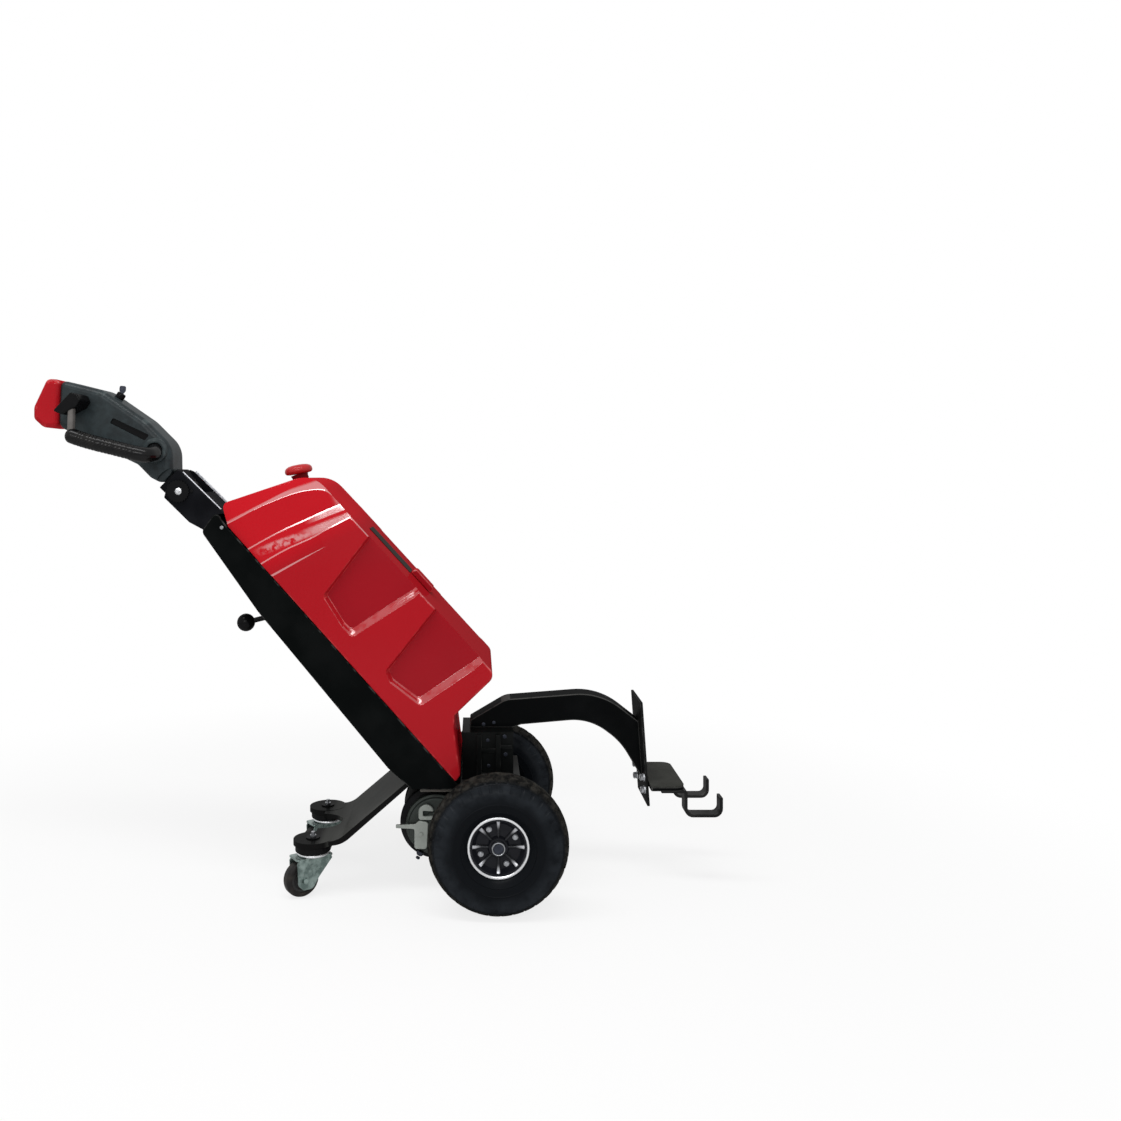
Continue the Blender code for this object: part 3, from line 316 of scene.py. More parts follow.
def tread(angle, radius, height):
    """Cut the tread's grooves into a point of the tyre's outside."""
    across = degrees(asin(max(-1, min(1, height / TYRE_HALF))))
    row = abs(across)
    if radius < 0.108 or row > 68:
        return radius, height
    turn = angle * BLOCKS / tau + (0.5 if across > 0 else 0)
    if row < 41:
        wave = 0.22 * sin(radians(row * 9))
        lane = 12 < row < 16
        deep = 0.0024 if lane or (turn + wave) % 1 < 0.26 else 0
    elif row < 46:
        deep = 0.0028
    else:
        deep = 0.0012 if (turn + 0.4) % 1 < 0.28 else 0
    slope = radians(across)
    return radius - deep * cos(slope), height - deep * sin(slope)


belly = [(TYRE_RADIUS - BELLY + BELLY * cos(angle), TYRE_HALF * sin(angle))
         for angle in map(radians, range(-84, 85, 3))]
wall = [(0.094, 0.044), (0.0925, 0.0449), (0.091, 0.044), (0.084, 0.0428), (0.0775, 0.0408),
        (0.0765, 0.0416), (0.075, 0.0402), (0.069, 0.0352), (0.0645, 0.0305),
        (RIM_OUTER + 0.0004, 0.0285)]
for side, sign in SIDES:
    made = lathe(mirrored(wall, belly), BLOCKS * 12, tread)
    add_piece("tyre_tread_" + side, moved(made, (0, sign * TRACK_HALF, axle_height)), rubber,
              "tyre_rubber", "tyre_" + side, body="drive_wheel_" + side, smooth=28)


# The rim is a black dished disc between two rolled flanges. The outer flange is turned
# bright, eight ribs run out from the hub, four bolts clamp the halves.
RIM_HALF = 0.029
RIM_INNER = RIM_OUTER - 0.0055
RIBS = 8


def plain(name, dark, light, cloud, shine, grain=None, **sockets):
    """Finish of three noises, each a scale, a detail and maybe the values that become 0
    and 1. The cloud runs between two tones. Shine is the roughness's swing and its least
    value, then a noise of its own if not the cloud. Grain ends with the relief's depth."""
    made, place = new_finish(name)

    def pattern(scale, detail=2, *ends):
        spots = place.noise(scale, detail)
        return spots.ease(*ends) if ends else spots

    tone = pattern(*cloud)
    swing, least, *own = shine
    if grain:
        sockets["Normal"] = pattern(*grain[:-1]).bump(grain[-1])
    return dress(made, Base_Color=tone.mix(dark, light),
                 Roughness=(pattern(*own) if own else tone) * swing + least, **sockets)


black_cast = plain("rim_black", (0.006, 0.0065, 0.009), (0.016, 0.017, 0.021), (60, 3),
                   (0.2, 0.28), (500, 2, 0.0002), coat=(0.2, 0.2))
dull_steel = plain("hub_steel", (0.01, 0.012, 0.018), (0.05, 0.056, 0.075), (140, 4),
                   (0.2, 0.25), (400, 2, 0.0001), Metallic=0.8)
steel = plain("bolt_steel", (0.34, 0.35, 0.37), (0.16, 0.165, 0.17), (220, 3, 0.35, 0.8),
              (0.25, 0.25), Metallic=0.9)

bright, place = new_finish("rim_bright")
rings = place.node("TexWave", {"wave_type": "RINGS", "rings_direction": "Y"},
                   {"Vector": place, "Scale": 260, "Distortion": 0.4})
dress(bright, Base_Color=rings.mix((0.6, 0.61, 0.63), (0.78, 0.79, 0.8)), Metallic=0.9,
      Roughness=rings * 0.1 + 0.22)

rib_metal, place = new_finish("rib_metal")
brushed = place.noise(120, 4).ease(0.3, 0.75)
# Painted highlight and shade: each rib is dark near the hub and turns to pale metal at its outer
# end.
outer = place.reach((1, 0, 1), (0, 0, -axle_height)).ease(0.034, 0.054)
pale_tone = brushed.mix((0.42, 0.43, 0.46), (0.72, 0.73, 0.76))
dress(rib_metal, Base_Color=outer.mix((0.015, 0.016, 0.019), pale_tone), Metallic=0.6,
      Roughness=brushed * 0.2 + 0.25)


def pointing(axis, own="Y", up="Z"):
    """Turn that lays a solid's own axis along another."""
    return Vector(axis).normalized().to_track_quat(own, up).to_matrix().to_4x4()


def hex_bolt(place, axis, across, height, washer=0):
    """Hexagon head on a washer, standing on a face along an axis."""
    made = bmesh.new()
    radius = across / sqrt(3)
    start = 0.22 if washer else 0
    for sides, foot, top, deep, middle in (
            (24, washer, washer * 0.94, 0.25, 0.125), (6, radius, radius, 0.6, start + 0.3),
            (24, radius * 0.93, radius * 0.7, 0.14, start + 0.67)):
        if foot:
            bmesh.ops.create_cone(
                made, cap_ends=True, segments=sides, radius1=foot, radius2=top,
                depth=height * deep, matrix=Matrix.Translation((0, 0, height * middle)))
    return moved(made, place, pointing(axis, "Z", "Y"))


def merged(solids):
    """One solid with the faces of several."""
    made = bmesh.new()
    for solid in solids:
        carrier = mesh_of("carrier", solid)
        made.from_mesh(carrier)
        bpy.data.meshes.remove(carrier)
    return made


def bolt_circle(radius, level, out, angles, *sizes):
    """Bolts round the Y axis, on a face that looks out along it."""
    spots = [(radius * cos(radians(angle)), level,
              radius * sin(radians(angle))) for angle in angles]
    return merged([hex_bolt(spot, (0, out, 0), *sizes) for spot in spots])


rib = [[(radius, level, lateral) for lateral, level in
        ((-half, 0.012), (half, 0.012), (half, high - 0.001), (half * 0.5, high),
         (-half * 0.5, high), (-half, high - 0.001))]
       for radius, half, high in ((0.019, 0.0018, 0.0205), (0.04, 0.0023, 0.019),
                                  (0.052, 0.0034, 0.0215), (0.0572, 0.007, 0.0262))]
for side, sign in SIDES:
    disc = lathe([
        (RIM_INNER, 0.027), (RIM_INNER - 0.0035, 0.0262), (RIM_INNER - 0.006, 0.018),
        (0.046, 0.013), (0.028, 0.013), (0.0225, 0.015), (0.019, 0.0235), (0.0125, 0.0235),
        (0.0106, 0.0225), (0.0106, -0.04), (0.02, -0.04), (0.022, 0.004),
        (RIM_INNER - 0.002, 0.004), (RIM_INNER - 0.002, -RIM_HALF), (RIM_INNER, -RIM_HALF)], 96)
    turns = [Matrix.Rotation(tau * index / RIBS, 4, "Y") for index in range(RIBS)]
    ribs = merged([moved(skinned(rib), (0, 0, 0), turn) for turn in turns])
    lip = lathe([
        (RIM_OUTER, RIM_HALF - 0.001), (RIM_OUTER - 0.0012, RIM_HALF),
        (RIM_INNER + 0.0012, RIM_HALF), (RIM_INNER, RIM_HALF - 0.0014),
        (RIM_INNER, RIM_HALF - 0.008), (RIM_OUTER - 0.002, RIM_HALF - 0.01),
        (RIM_OUTER - 0.002, -RIM_HALF), (RIM_OUTER, -RIM_HALF)], 128)
    bolts = bolt_circle(0.039, 0.013, 1, (28, 119, 204, 295), 0.0085, 0.006, 0.006)
    cap = lathe([(0.0112, 0.0237), (0.0132, 0.0237), (0.0136, 0.025), (0.0134, 0.033),
                 (0.0126, 0.0336), (0.0114, 0.033)], 48)
    plug = lathe([(CORE, 0.02), (0.01, 0.02), (0.01, 0.0248), (0.0075, 0.0256),
                  (0.006, 0.0235), (CORE, 0.0235)], 48)
    for name, made, finish, *nodes in (
            ("rim_disc_", disc, black_cast, "rim_" + side), ("rim_lip_", lip, bright),
            ("rim_bolts_", bolts, steel), ("rim_ribs_", ribs, rib_metal),
            ("hub_ring_", cap, steel), ("hub_plug_", plug, black_cast)):
        made = moved(made, (0, sign * TRACK_HALF, axle_height), Matrix.Diagonal((1, sign, 1, 1)))
        add_piece(name + side, made, finish, "rim_metal", *nodes, body="drive_wheel_" + side)


# --- Frame -----------------------------------------------------------------------------
# A tray folded from sheet steel and painted satin black. It slopes from the drive unit up
# to the tiller's sleeve, and the battery stands in it under the cover.
def rounded(corners, steps=6):
    """Outline whose corners are (x, z, radius), each radius an arc."""
    points = []
    for index, (x, z, radius) in enumerate(corners):
        corner = Vector((x, z))
        if radius <= 0:
            points.append(corner)
            continue
        before = (Vector(corners[index - 1][:2]) - corner).normalized()
        after = (Vector(corners[(index + 1) % len(corners)][:2]) - corner).normalized()
        half = before.angle(after) / 2
        centre = corner + (before + after).normalized() * radius / sin(half)
        spoke = corner + before * radius / tan(half) - centre
        sweep = pi - 2 * half
        if before.x * after.y - before.y * after.x > 0:
            sweep = -sweep
        points += [centre + Matrix.Rotation(sweep * step / steps, 2) @ spoke
                   for step in range(steps + 1)]
    return points


def extrude(points, low, high, axis="Y"):
    """Flat outline drawn out along Y (a side view) or Z (a plan)."""
    return skinned([[(x, level, z) if axis == "Y" else (x, z, level) for x, z in points]
                    for level in sorted((low, high))])


def round_edges(made, width, segments, angle=40):
    """Bevel each edge sharper than the angle."""
    made.normal_update()
    sharp = [edge for edge in made.edges if len(edge.link_faces) == 2
             and edge.calc_face_angle(0) > radians(angle)]
    bmesh.ops.bevel(made, geom=sharp, offset=width, segments=segments, profile=0.5,
                    affect="EDGES", clamp_overlap=True)
    return made


def plate(points, half, *edge):
    """Side view drawn out alike to both sides, with its edges rounded."""
    return round_edges(extrude(points, -half, half), *edge)


WELD = 0.00002  # a cut's points nearer than this are one


def joined(made, others, operation="DIFFERENCE"):
    """Cut other solids out of one, or add them to it, by exact booleans."""
    holders = [new_object("solid", mesh_of("solid", solid)) for solid in [made, *others]]
    for other in holders[1:]:
        change = holders[0].modifiers.new("join", "BOOLEAN")
        change.operation = operation
        change.solver = "EXACT"
        change.object = other
    graph = bpy.context.evaluated_depsgraph_get()
    result = bpy.data.meshes.new_from_object(holders[0].evaluated_get(graph))
    for holder in holders:
        bpy.data.objects.remove(holder, do_unlink=True)
    made = bmesh.new()
    made.from_mesh(result)
    bmesh.ops.remove_doubles(made, verts=made.verts, dist=WELD)
    return made


def beside(line, along, out):
    """Point along a line and out from it, to the left of its direction."""
    start = Vector(line[0])
    step = (Vector(line[1]) - start).normalized()
    return start + step * along + Vector((-step.y, step.x)) * out


def inset(corners, distances):
    """Move each side of an outline inward by its own distance."""
    points = [Vector(corner[:2]) for corner in corners]
    count = len(points)
    area = sum(points[i - 1].x * points[i].y - points[i].x * points[i - 1].y
               for i in range(count))
    turn = 1 if area > 0 else -1
    lines = []
    for index in range(count):
        step = (points[(index + 1) % count] - points[index]).normalized()
        side = Vector((-step.y, step.x)) * turn
        lines.append((points[index] + side * distances[index], step))
    crossings = []
    for index in range(count):
        (p, d), (q, e) = lines[index - 1], lines[index]
        cross = d.x * e.y - d.y * e.x
        crossings.append(p + d * ((q - p).x * e.y - (q - p).y * e.x) / cross)
    return crossings


def rubbed(place, scale, start, end):
    """1 on edges in patches: paint rubbed off, and on the arm also a painted highlight."""
    edge = place.node("Attribute", {"attribute_name": "rub"}, output=2)
    return edge * place.noise(scale, 4).ease(start, end)


def powder(name, dark, light, rough, wear_and_highlight=(0.06, 0.06, 0.058), sheen=0.06, pale_edge_from=0.45):
    """Powder-coated steel: fine orange peel, dusty patches, paler edges of wear and painted
    highlight.
    """
    made, place = new_finish(name)
    patch = place.noise(11, 4).ease(0.4, 0.72)
    rub = rubbed(place, 55, pale_edge_from, pale_edge_from + 0.25)
    return dress(made, Base_Color=(rub * 0.8).mix(patch.mix(dark, light), wear_and_highlight),
                 Roughness=patch * 0.1 + rough, Normal=place.noise(420).bump(0.0002),
                 coat=(sheen, 0.3))


FRAME_HALF = 0.15
SEAT = ((-0.089, 0.248), (-0.573, 0.789))
satin = powder("frame_black", (0.0012, 0.0018, 0.0018), (0.0035, 0.0042, 0.0042), 0.44)
frame_corners = [
    (-0.573, 0.789, 0), (-0.596, 0.822, 0.01), (-0.628, 0.779, 0.014), (-0.507, 0.608, 0.016),
    (-0.232, 0.277, 0.016), (-0.181, 0.232, 0.012), (-0.079, 0.232, 0), (-0.079, 0.24, 0),
    (-0.089, 0.248, 0)]
SLEEVE_TOP = (-0.696, 0.907)
SLEEVE_TILT = radians(44.5)
sleeve_line = (SLEEVE_TOP, (SLEEVE_TOP[0] + cos(SLEEVE_TILT),
                            SLEEVE_TOP[1] - sin(SLEEVE_TILT)))
sleeve_side = [Vector(SLEEVE_TOP)] + [
    beside(sleeve_line, along, out) for along, out in
    ((-0.01, -0.004), (-0.004, -0.038), (0.013, -0.0685), (0.091, -0.0685),
     (0.127, -0.058), (0.195, -0.058), (0.195, 0))]
SLEEVE_HALF = 0.055
WALL = 0.004
GAP = 0.0003  # left between pieces that would touch


def sleeve_room():
    """Solid a gap larger than the sleeve, which cuts its seat."""
    return extrude(inset(sleeve_side, [-GAP] * 8), -SLEEVE_HALF - GAP, SLEEVE_HALF + GAP)


tray = plate(rounded(frame_corners), FRAME_HALF, 0.003, 3, 60)
hollow = inset(frame_corners, [WALL] * 8 + [-0.08])  # open at the upper side
tray = joined(tray, [extrude(hollow, -FRAME_HALF + WALL, FRAME_HALF - WALL), sleeve_room()])
add_piece("frame_tray", tray, satin, "painted_black", "frame_channel", smooth=30)

# One small bolt on each side of the tray's mouth clamps the sleeve.
studs = [hex_bolt((-0.5835, sign * FRAME_HALF, 0.7874), (0, sign, 0), 0.007, 0.004)
         for sign in (-1, 1)]
add_piece("frame_bolts", merged(studs), steel, "zinc")


# --- Cover -----------------------------------------------------------------------------
# One glossy red moulding over the batteries and controller. Two pockets are sunk into
# each side, shallow steps run under its upper edge, and its skirt rests on the tray.
seat_length = (Vector(SEAT[0]) - Vector(SEAT[1])).length
low, high = beside(SEAT, 0, -GAP), beside(SEAT, seat_length, -GAP)
cover_corners = [
    (*high, 0), (-0.59, 0.8375, 0.012), (-0.3953, 0.903, 0.065), (-0.0027, 0.4737, 0.02),
    (-0.091, 0.389, 0.006), (-0.092, 0.362, 0.006), (-0.079, 0.262, 0.004), (*low, 0)]
POCKETS = (((-0.255, 0.79), (-0.272, 0.7675), (-0.368, 0.642), (-0.331, 0.583),
            (-0.31, 0.562), (-0.168, 0.6533), (-0.14, 0.68)),
           ((-0.105, 0.65), (-0.128, 0.6173), (-0.236, 0.482), (-0.2275, 0.4628),
            (-0.166, 0.416), (-0.033, 0.506), (-0.004, 0.53)))
POCKET_DEPTH = 0.012
POCKET_SPREAD = (-0.003, -0.003, -0.003, -0.005, -0.009, -0.006, 0)
POCKET_WALLS = (0.006, 0.006, 0.01, 0.012, 0.018, 0.016, -0.01)
OUTER_FACE = ((-0.348, 0.853), (-0.033, 0.507))
gloss, place = new_finish("cover_red")
cloud = place.noise(6, 3)
facing = place.facing()
upward = facing.along((0, 0, 1))
sideways = facing.reach((0, 1, 0))
level = place.along((-0.3186, 0, 0.9479))
along = place.along((0.8876, 0, 0.4607))
across = place.along((-0.4607, 0, 0.8876))
below_crown = level.ease(0.9665, 0.96) * across.ease(0.9765, 0.9735)
streak = place.noise(45, 4).ease(0.34, 0.56) * 0.6 + 0.4
high_up = across.ease(0.8, 0.815)
faces = upward.ease(0.2, 0.38) * (high_up + (1 - high_up) * streak * 0.35)
patchy = place.noise(70, 4).ease(0.4, 0.56)
unbroken = along.ease(-0.03, 0.03)
drift = across + along * 0.1056
low_patch = drift.ease(0.8625, 0.869) * drift.ease(0.886, 0.879)
low_patch = low_patch * along.ease(-0.125, -0.075) * (patchy * (1 - unbroken) + unbroken)
top_patch = drift.ease(0.89, 0.893) * along.ease(0, 0.045)
waved = upward.ease(0.015, 0.05) * (low_patch + top_patch)
gleam = faces.maths("MAXIMUM", faces, waved) * sideways.ease(0.15, 0.45) * below_crown
rolled = sideways.ease(0.4, 0.5) * sideways.ease(0.74, 0.62) * upward.ease(0.15, 0.4)
rolled = rolled * (1 - below_crown) * 0.5
# Painted shade: the floors of the pockets are a darker red.
pocket_painted_shade = 1 - place.reach((0, 1, 0)).ease(FRAME_HALF - 0.0118, FRAME_HALF - 0.01)
pocket_painted_shade = pocket_painted_shade * sideways.ease(0.9, 0.97) * across.ease(0.83, 0.824)
red = cloud.mix((0.345, 0.008, 0.013), (0.405, 0.01, 0.0165))
# Painted light: the upper part of the side, up to the crest, is a brighter red.
crest_painted_light = across.ease(0.825, 0.875) * across.ease(1.1, 1.06)
red = crest_painted_light.mix(red, cloud.mix((0.44, 0.0065, 0.012), (0.51, 0.0085, 0.016)))
red = pocket_painted_shade.mix(red, cloud.mix((0.265, 0.007, 0.0125), (0.325, 0.0085, 0.015)))
dress(gloss, Base_Color=(rubbed(place, 45, 0.4, 0.68) * 0.4).mix(red, (0.72, 0.1, 0.1)),
      Roughness=place.noise(90, 3) * 0.08 + 0.13, Normal=place.noise(38).bump(0.0002),
      coat=(gleam.maths("MAXIMUM", gleam, rolled) * 0.95 + 0.02, 0.08), Coat_IOR=3)

# The steps: each row is a line across the side (eight places) and its depths there.
LINE_4 = ((-0.545, 0.643), (-0.4853, 0.6782), (-0.423, 0.7137), (-0.38, 0.738),
          (-0.355, 0.752), (-0.33, 0.767), (-0.3, 0.784), (-0.262, 0.806))
LINE_3 = ((-0.565, 0.671), (-0.5077, 0.7049), (-0.4498, 0.7383), (-0.3962, 0.7628),
          (-0.37, 0.777), (-0.342, 0.792), (-0.3118, 0.8075), (-0.27, 0.829))
LINE_2 = ((-0.59, 0.705), (-0.5276, 0.7406), (-0.4675, 0.7741), (-0.4053, 0.8028),
          (-0.38, 0.8145), (-0.357, 0.8245), (-0.334, 0.8342), (-0.3, 0.848))
LINE_1 = ((-0.64, 0.765), (-0.5745, 0.794), (-0.508, 0.829), (-0.4409, 0.8564),
          (-0.4, 0.866), (-0.3696, 0.8656), (-0.345, 0.85), (-0.305, 0.822))
EDGE_LINE = ((-0.65, 0.815), (-0.592, 0.8375), (-0.525, 0.862), (-0.455, 0.886),
             (-0.405, 0.9035), (-0.355, 0.898), (-0.322, 0.868), (-0.285, 0.835))
STEP = 0.0022
STEP_COLUMNS = 36
UP = Vector((-0.0014, 0.0027))
fade = (0.0036, 0.0034, 0.0026, 0.001, -0.0004, -0.0005, -0.0005, -0.0005)
tilt = (0.0062, 0.0074, 0.0096, 0.0092, 0.0085, 0.0079, 0.0076, 0.0076)


def spline(points):
    """Evenly spread points of a smooth line through some places."""
    route = curve_through([(x, 0, z) for x, z in points], 12)
    return [route[round(step * (len(route) - 1) / STEP_COLUMNS)].xz
            for step in range(STEP_COLUMNS + 1)]


def curve_through(points, steps):
    """Catmull-Rom points through a route."""
    route = [Vector(point) for point in points]
    route = [route[0] * 2 - route[1]] + route + [route[-1] * 2 - route[-2]]
    made = []
    for index in range(1, len(route) - 2):
        a, b, c, d = route[index - 1:index + 3]
        for step in range(steps):
            t = step / steps
            made.append(0.5 * (2 * b + (c - a) * t + (2 * a - 5 * b + 4 * c - d) * t * t
                               + (3 * b - a - 3 * c + d) * t ** 3))
    return made + [route[-2]]


def grow(depths, extra):
    """Depths with nothing proud of the face, and all of them deeper by one amount."""
    return [max(depth, 0) + extra for depth in depths]


def lifted(line, depths=(STEP,) * 8):
    """A line of the steps moved up by the run of its step."""
    return [Vector(place) + UP * max(depth / STEP, 0.15) for place, depth in zip(line, depths)]


def step_cutter(sign):
    """Solid outside the side face whose inner skin follows the rows of steps."""
    middle = [(Vector(a) + Vector(b)) / 2 for a, b in zip(LINE_1, EDGE_LINE)]
    above = [Vector(a) + (Vector(a) - Vector(b)) * 0.6 for a, b in zip(EDGE_LINE, LINE_1)]
    rows = [(LINE_4, [-0.001] * 8), (LINE_4, [-0.0002] * 8), (lifted(LINE_4, fade), fade),
            (LINE_3, fade), (lifted(LINE_3), grow(fade, STEP)), (LINE_2, tilt),
            (lifted(LINE_2), grow(tilt, STEP)), (LINE_1, grow(tilt, 0.0028)),
            (lifted(LINE_1), grow(tilt, 0.0028 + STEP)), (middle, grow(tilt, 0.0105)),
            (EDGE_LINE, grow(tilt, 0.022)), (above, grow(tilt, 0.036))]
    made = bmesh.new()
    grids = ([], [])
    for points, depths in rows:
        line = spline(points)
        spread = spline([(depth, 0) for depth in depths])
        grids[0].append([made.verts.new((p.x, sign * (FRAME_HALF - d.x), p.y))
                         for p, d in zip(line, spread)])
        grids[1].append([made.verts.new((p.x, sign * (FRAME_HALF + 0.02), p.y)) for p in line])
    for grid in grids:
        for one, two in zip(grid, grid[1:]):
            for k in range(len(one) - 1):
                made.faces.new((one[k], one[k + 1], two[k + 1], two[k]))
    ring_in, ring_out = (grid[0] + [row[-1] for row in grid[1:-1]] + grid[-1][::-1]
                         + [row[0] for row in grid[-2:0:-1]] for grid in grids)
    for k in range(len(ring_in)):
        made.faces.new((ring_in[k - 1], ring_in[k], ring_out[k], ring_out[k - 1]))
    return made


def sunk_cutter(corners, sign):
    """Pocket whose sloped walls start outside its corners and run inward."""
    outer = inset(corners, POCKET_SPREAD)
    rings = []
    for share in (-1, 0, 0.1, 0.25, 0.5, 0.75, 0.9, 1):
        inward = max(share, 0)
        ring = inset(outer, [wall * inward for wall in POCKET_WALLS])
        line = rounded([(*point, 0.014 - 0.006 * inward) for point in ring], 5)
        fall = inward * inward * (3 - 2 * inward) * POCKET_DEPTH
        level = FRAME_HALF + 0.012 if share < 0 else FRAME_HALF - fall
        rings.append([(x, sign * level, z) for x, z in line])
    return skinned(rings)


def strip(line, start, end, low, high):
    """Outline of a strip beside a line."""
    return [beside(line, *spot) for spot in
            ((start, low), (end, low), (end, high), (start, high))]


cutters = []
for sign in (-1, 1):
    cutters += [step_cutter(sign)] + [sunk_cutter(pocket, sign) for pocket in POCKETS]
room = inset(cover_corners, [0.02, 0.03, 0.025, 0.012, 0.005, 0.005, 0.005, -0.08])
window_seat = strip(OUTER_FACE, 0.0977, 0.2323, -0.0033, 0.003)
cutters += [extrude(room, -0.13, 0.13), sleeve_room(), extrude(window_seat, -0.0383, 0.0383)]
hood = joined(plate(rounded(cover_corners, 8), FRAME_HALF, 0.02, 7, 60), cutters)
add_piece("cover_hood", hood, gloss, "cover_red", "cover_shell", smooth=24)

# A dark window strip is let into the outer face, with a red latch below it.
smoked = plain("window_dark", (0.01, 0.007, 0.005), (0.02, 0.014, 0.01), (30,),
               (0.1, 0.35, 150, 3), (60, 2, 0.0001), coat=(0.06, 0.1))
glass = plate(strip(OUTER_FACE, 0.098, 0.232, -0.003, 0.0005), 0.038, 0.0005, 2)
add_piece("cover_glass", glass, smoked, "window_plastic", "cover_window")
boss = [(*corner, radius) for corner, radius in
        zip(strip(OUTER_FACE, 0.233, 0.296, GAP, 0.014), (0, 0, 0.008, 0.008))]
add_piece("latch_boss", plate(rounded(boss), 0.024, 0.003, 4, 60), gloss,
          "cover_red", "cover_latch")

# The emergency stop is a red mushroom button on a thick neck.
mushroom = plain("button_red", (0.34, 0.016, 0.018), (0.46, 0.024, 0.026), (40,),
                 (0.12, 0.24, 200, 3), (300, 2, 0.0001), coat=(0.4, 0.2))
neck_red = plain("button_neck_red", (0.1, 0.004, 0.006), (0.16, 0.006, 0.008), (60,),
                 (0.15, 0.35, 200, 3), (300, 2, 0.0001), coat=(0.1, 0.3))
moulded = plain("collar_black", (0.0025, 0.0025, 0.003), (0.006, 0.006, 0.0065), (50,),
                (0.15, 0.35, 250, 2), (600, 2, 0.0002), coat=(0.15, 0.2))


def seat_on(line, along):
    """Place on a face's side line, and the turn that stands a lathed solid up there."""
    foot, tip = beside(line, along, GAP), beside(line, along, 1)
    return (foot.x, 0, foot.y), pointing((tip.x - foot.x, 0, tip.y - foot.y))


button_seat = seat_on(((-0.59, 0.8375), (-0.3953, 0.903)), 0.158)
dome = lathe([
    (CORE, 0.0205), (0.012, 0.0201), (0.021, 0.0186), (0.027, 0.0158), (0.0303, 0.0118),
    (0.0312, 0.007), (0.0303, 0.003), (0.0275, 0.0006), (0.0215, -0.0006), (CORE, -0.0006)], 64)
dome = moved(dome, (0, 0.0145, 0), Matrix.Rotation(radians(8), 4, "X"))
neck = lathe([(CORE, 0.0135), (0.02, 0.0135), (0.019, 0.0105), (0.018, 0.007),
              (0.018, 0), (CORE, 0)], 64)
add_piece("stop_dome", moved(dome, *button_seat), mushroom, "button_red", "stop_button")
add_piece("stop_neck", moved(neck, *button_seat), neck_red, "button_red")


# --- Hitch -----------------------------------------------------------------------------
# A welded box arm reaches forward from the drive carrier to an upright plate. A shelf and
# two bent strap hooks are fixed to the plate; all of it is painted black.
PLATE_TOP = 0.4
SHELF_LOW = 0.213
plate_back = ((0.314, PLATE_TOP), (0.33, 0.172))
high, low = beside(plate_back, 0.0515, -GAP), beside(plate_back, 0.181, -GAP)
arm = rounded([
    (-0.059, 0.3353, 0), (-0.059, 0.352, 0.004), (0.02, 0.3985, 0.05), (0.232, 0.4147, 0.15),
    (*high, 0), (*low, 0), (0.2761, 0.3039, 0.15), (0.2068, 0.3552, 0.12),
    (0.055, 0.342, 0.008), (0.036, 0.3353, 0)], 12)
# Its edges are paler and wider than elsewhere: rubbed wear, and a painted highlight along the
# top edge.
arm_paint = powder("arm_black", (0.0015, 0.0018, 0.002), (0.004, 0.0045, 0.0048), 0.34,
                   wear_and_highlight=(0.075, 0.075, 0.072), pale_edge_from=0.2)
add_piece("arm_box", plate(arm, 0.03, 0.0028, 3, 50), arm_paint, "painted_black",
          "hitch_arm", smooth=30)

upright_paint = powder("upright_grey", (0.008, 0.0085, 0.0085), (0.016, 0.0165, 0.016), 0.42)
length = (Vector(plate_back[1]) - Vector(plate_back[0])).length
add_piece("upright", plate(strip(plate_back, 0, length, 0, 0.006), 0.07, 0.0016, 3),
          upright_paint, "painted_black", "hitch_plate")

mat_rubber = powder("mat_olive", (0.034, 0.035, 0.031), (0.056, 0.057, 0.051), 0.55)
start = beside(plate_back, PLATE_TOP - SHELF_LOW, 0.006 + GAP).x + 0.0005
shelf = rounded([(start, -0.098, 0.004), (0.408, -0.098, 0.022), (0.408, 0.098, 0.022),
                 (start, 0.098, 0.004)], 8)
add_piece("shelf", round_edges(extrude(shelf, SHELF_LOW, 0.222, "Z"), 0.002, 3, 60),
          arm_paint, "painted_grey", "platform")
add_piece("shelf_mat", round_edges(extrude(shelf, 0.2222, 0.225, "Z"), 0.0008, 2, 60),
          mat_rubber, "painted_grey")

THICK = 0.007
HOOK_OUT, HOOK_HALF = 0.07, 0.017
strap_paint = powder("hook_black", (0.007, 0.007, 0.0075), (0.015, 0.015, 0.015), 0.3, sheen=0.2)
front, under = 0.4083, 0.2127
end = front + 0.084
strap = rounded([
    (front - 0.05, under, 0), (front + THICK, under, 0.0075), (front + THICK, 0.16, 0.012),
    (end - THICK, 0.16, 0.012), (end - THICK, 0.196, 0), (end, 0.196, 0), (end, 0.153, 0.019),
    (front, 0.153, 0.019), (front, under - THICK, 0.003), (front - 0.05, under - THICK, 0)], 8)
for side, sign in SIDES:
    bent = extrude(strap, sign * HOOK_OUT - HOOK_HALF, sign * HOOK_OUT + HOOK_HALF)
    bent = round_edges(bent, 0.0014, 3, 50)
    add_piece("strap_" + side, bent, strap_paint, "painted_black", "hook_" + side, smooth=30)

nuts = []
for lateral in (-0.056, 0.056):
    for level in (0.205, 0.232):
        spot = beside(plate_back, PLATE_TOP - level, 0)
        nuts.append(hex_bolt((spot.x, lateral, spot.y), (-1, 0, -0.07), 0.013, 0.011, 0.009))
add_piece("upright_nuts", merged(nuts), steel, "zinc")


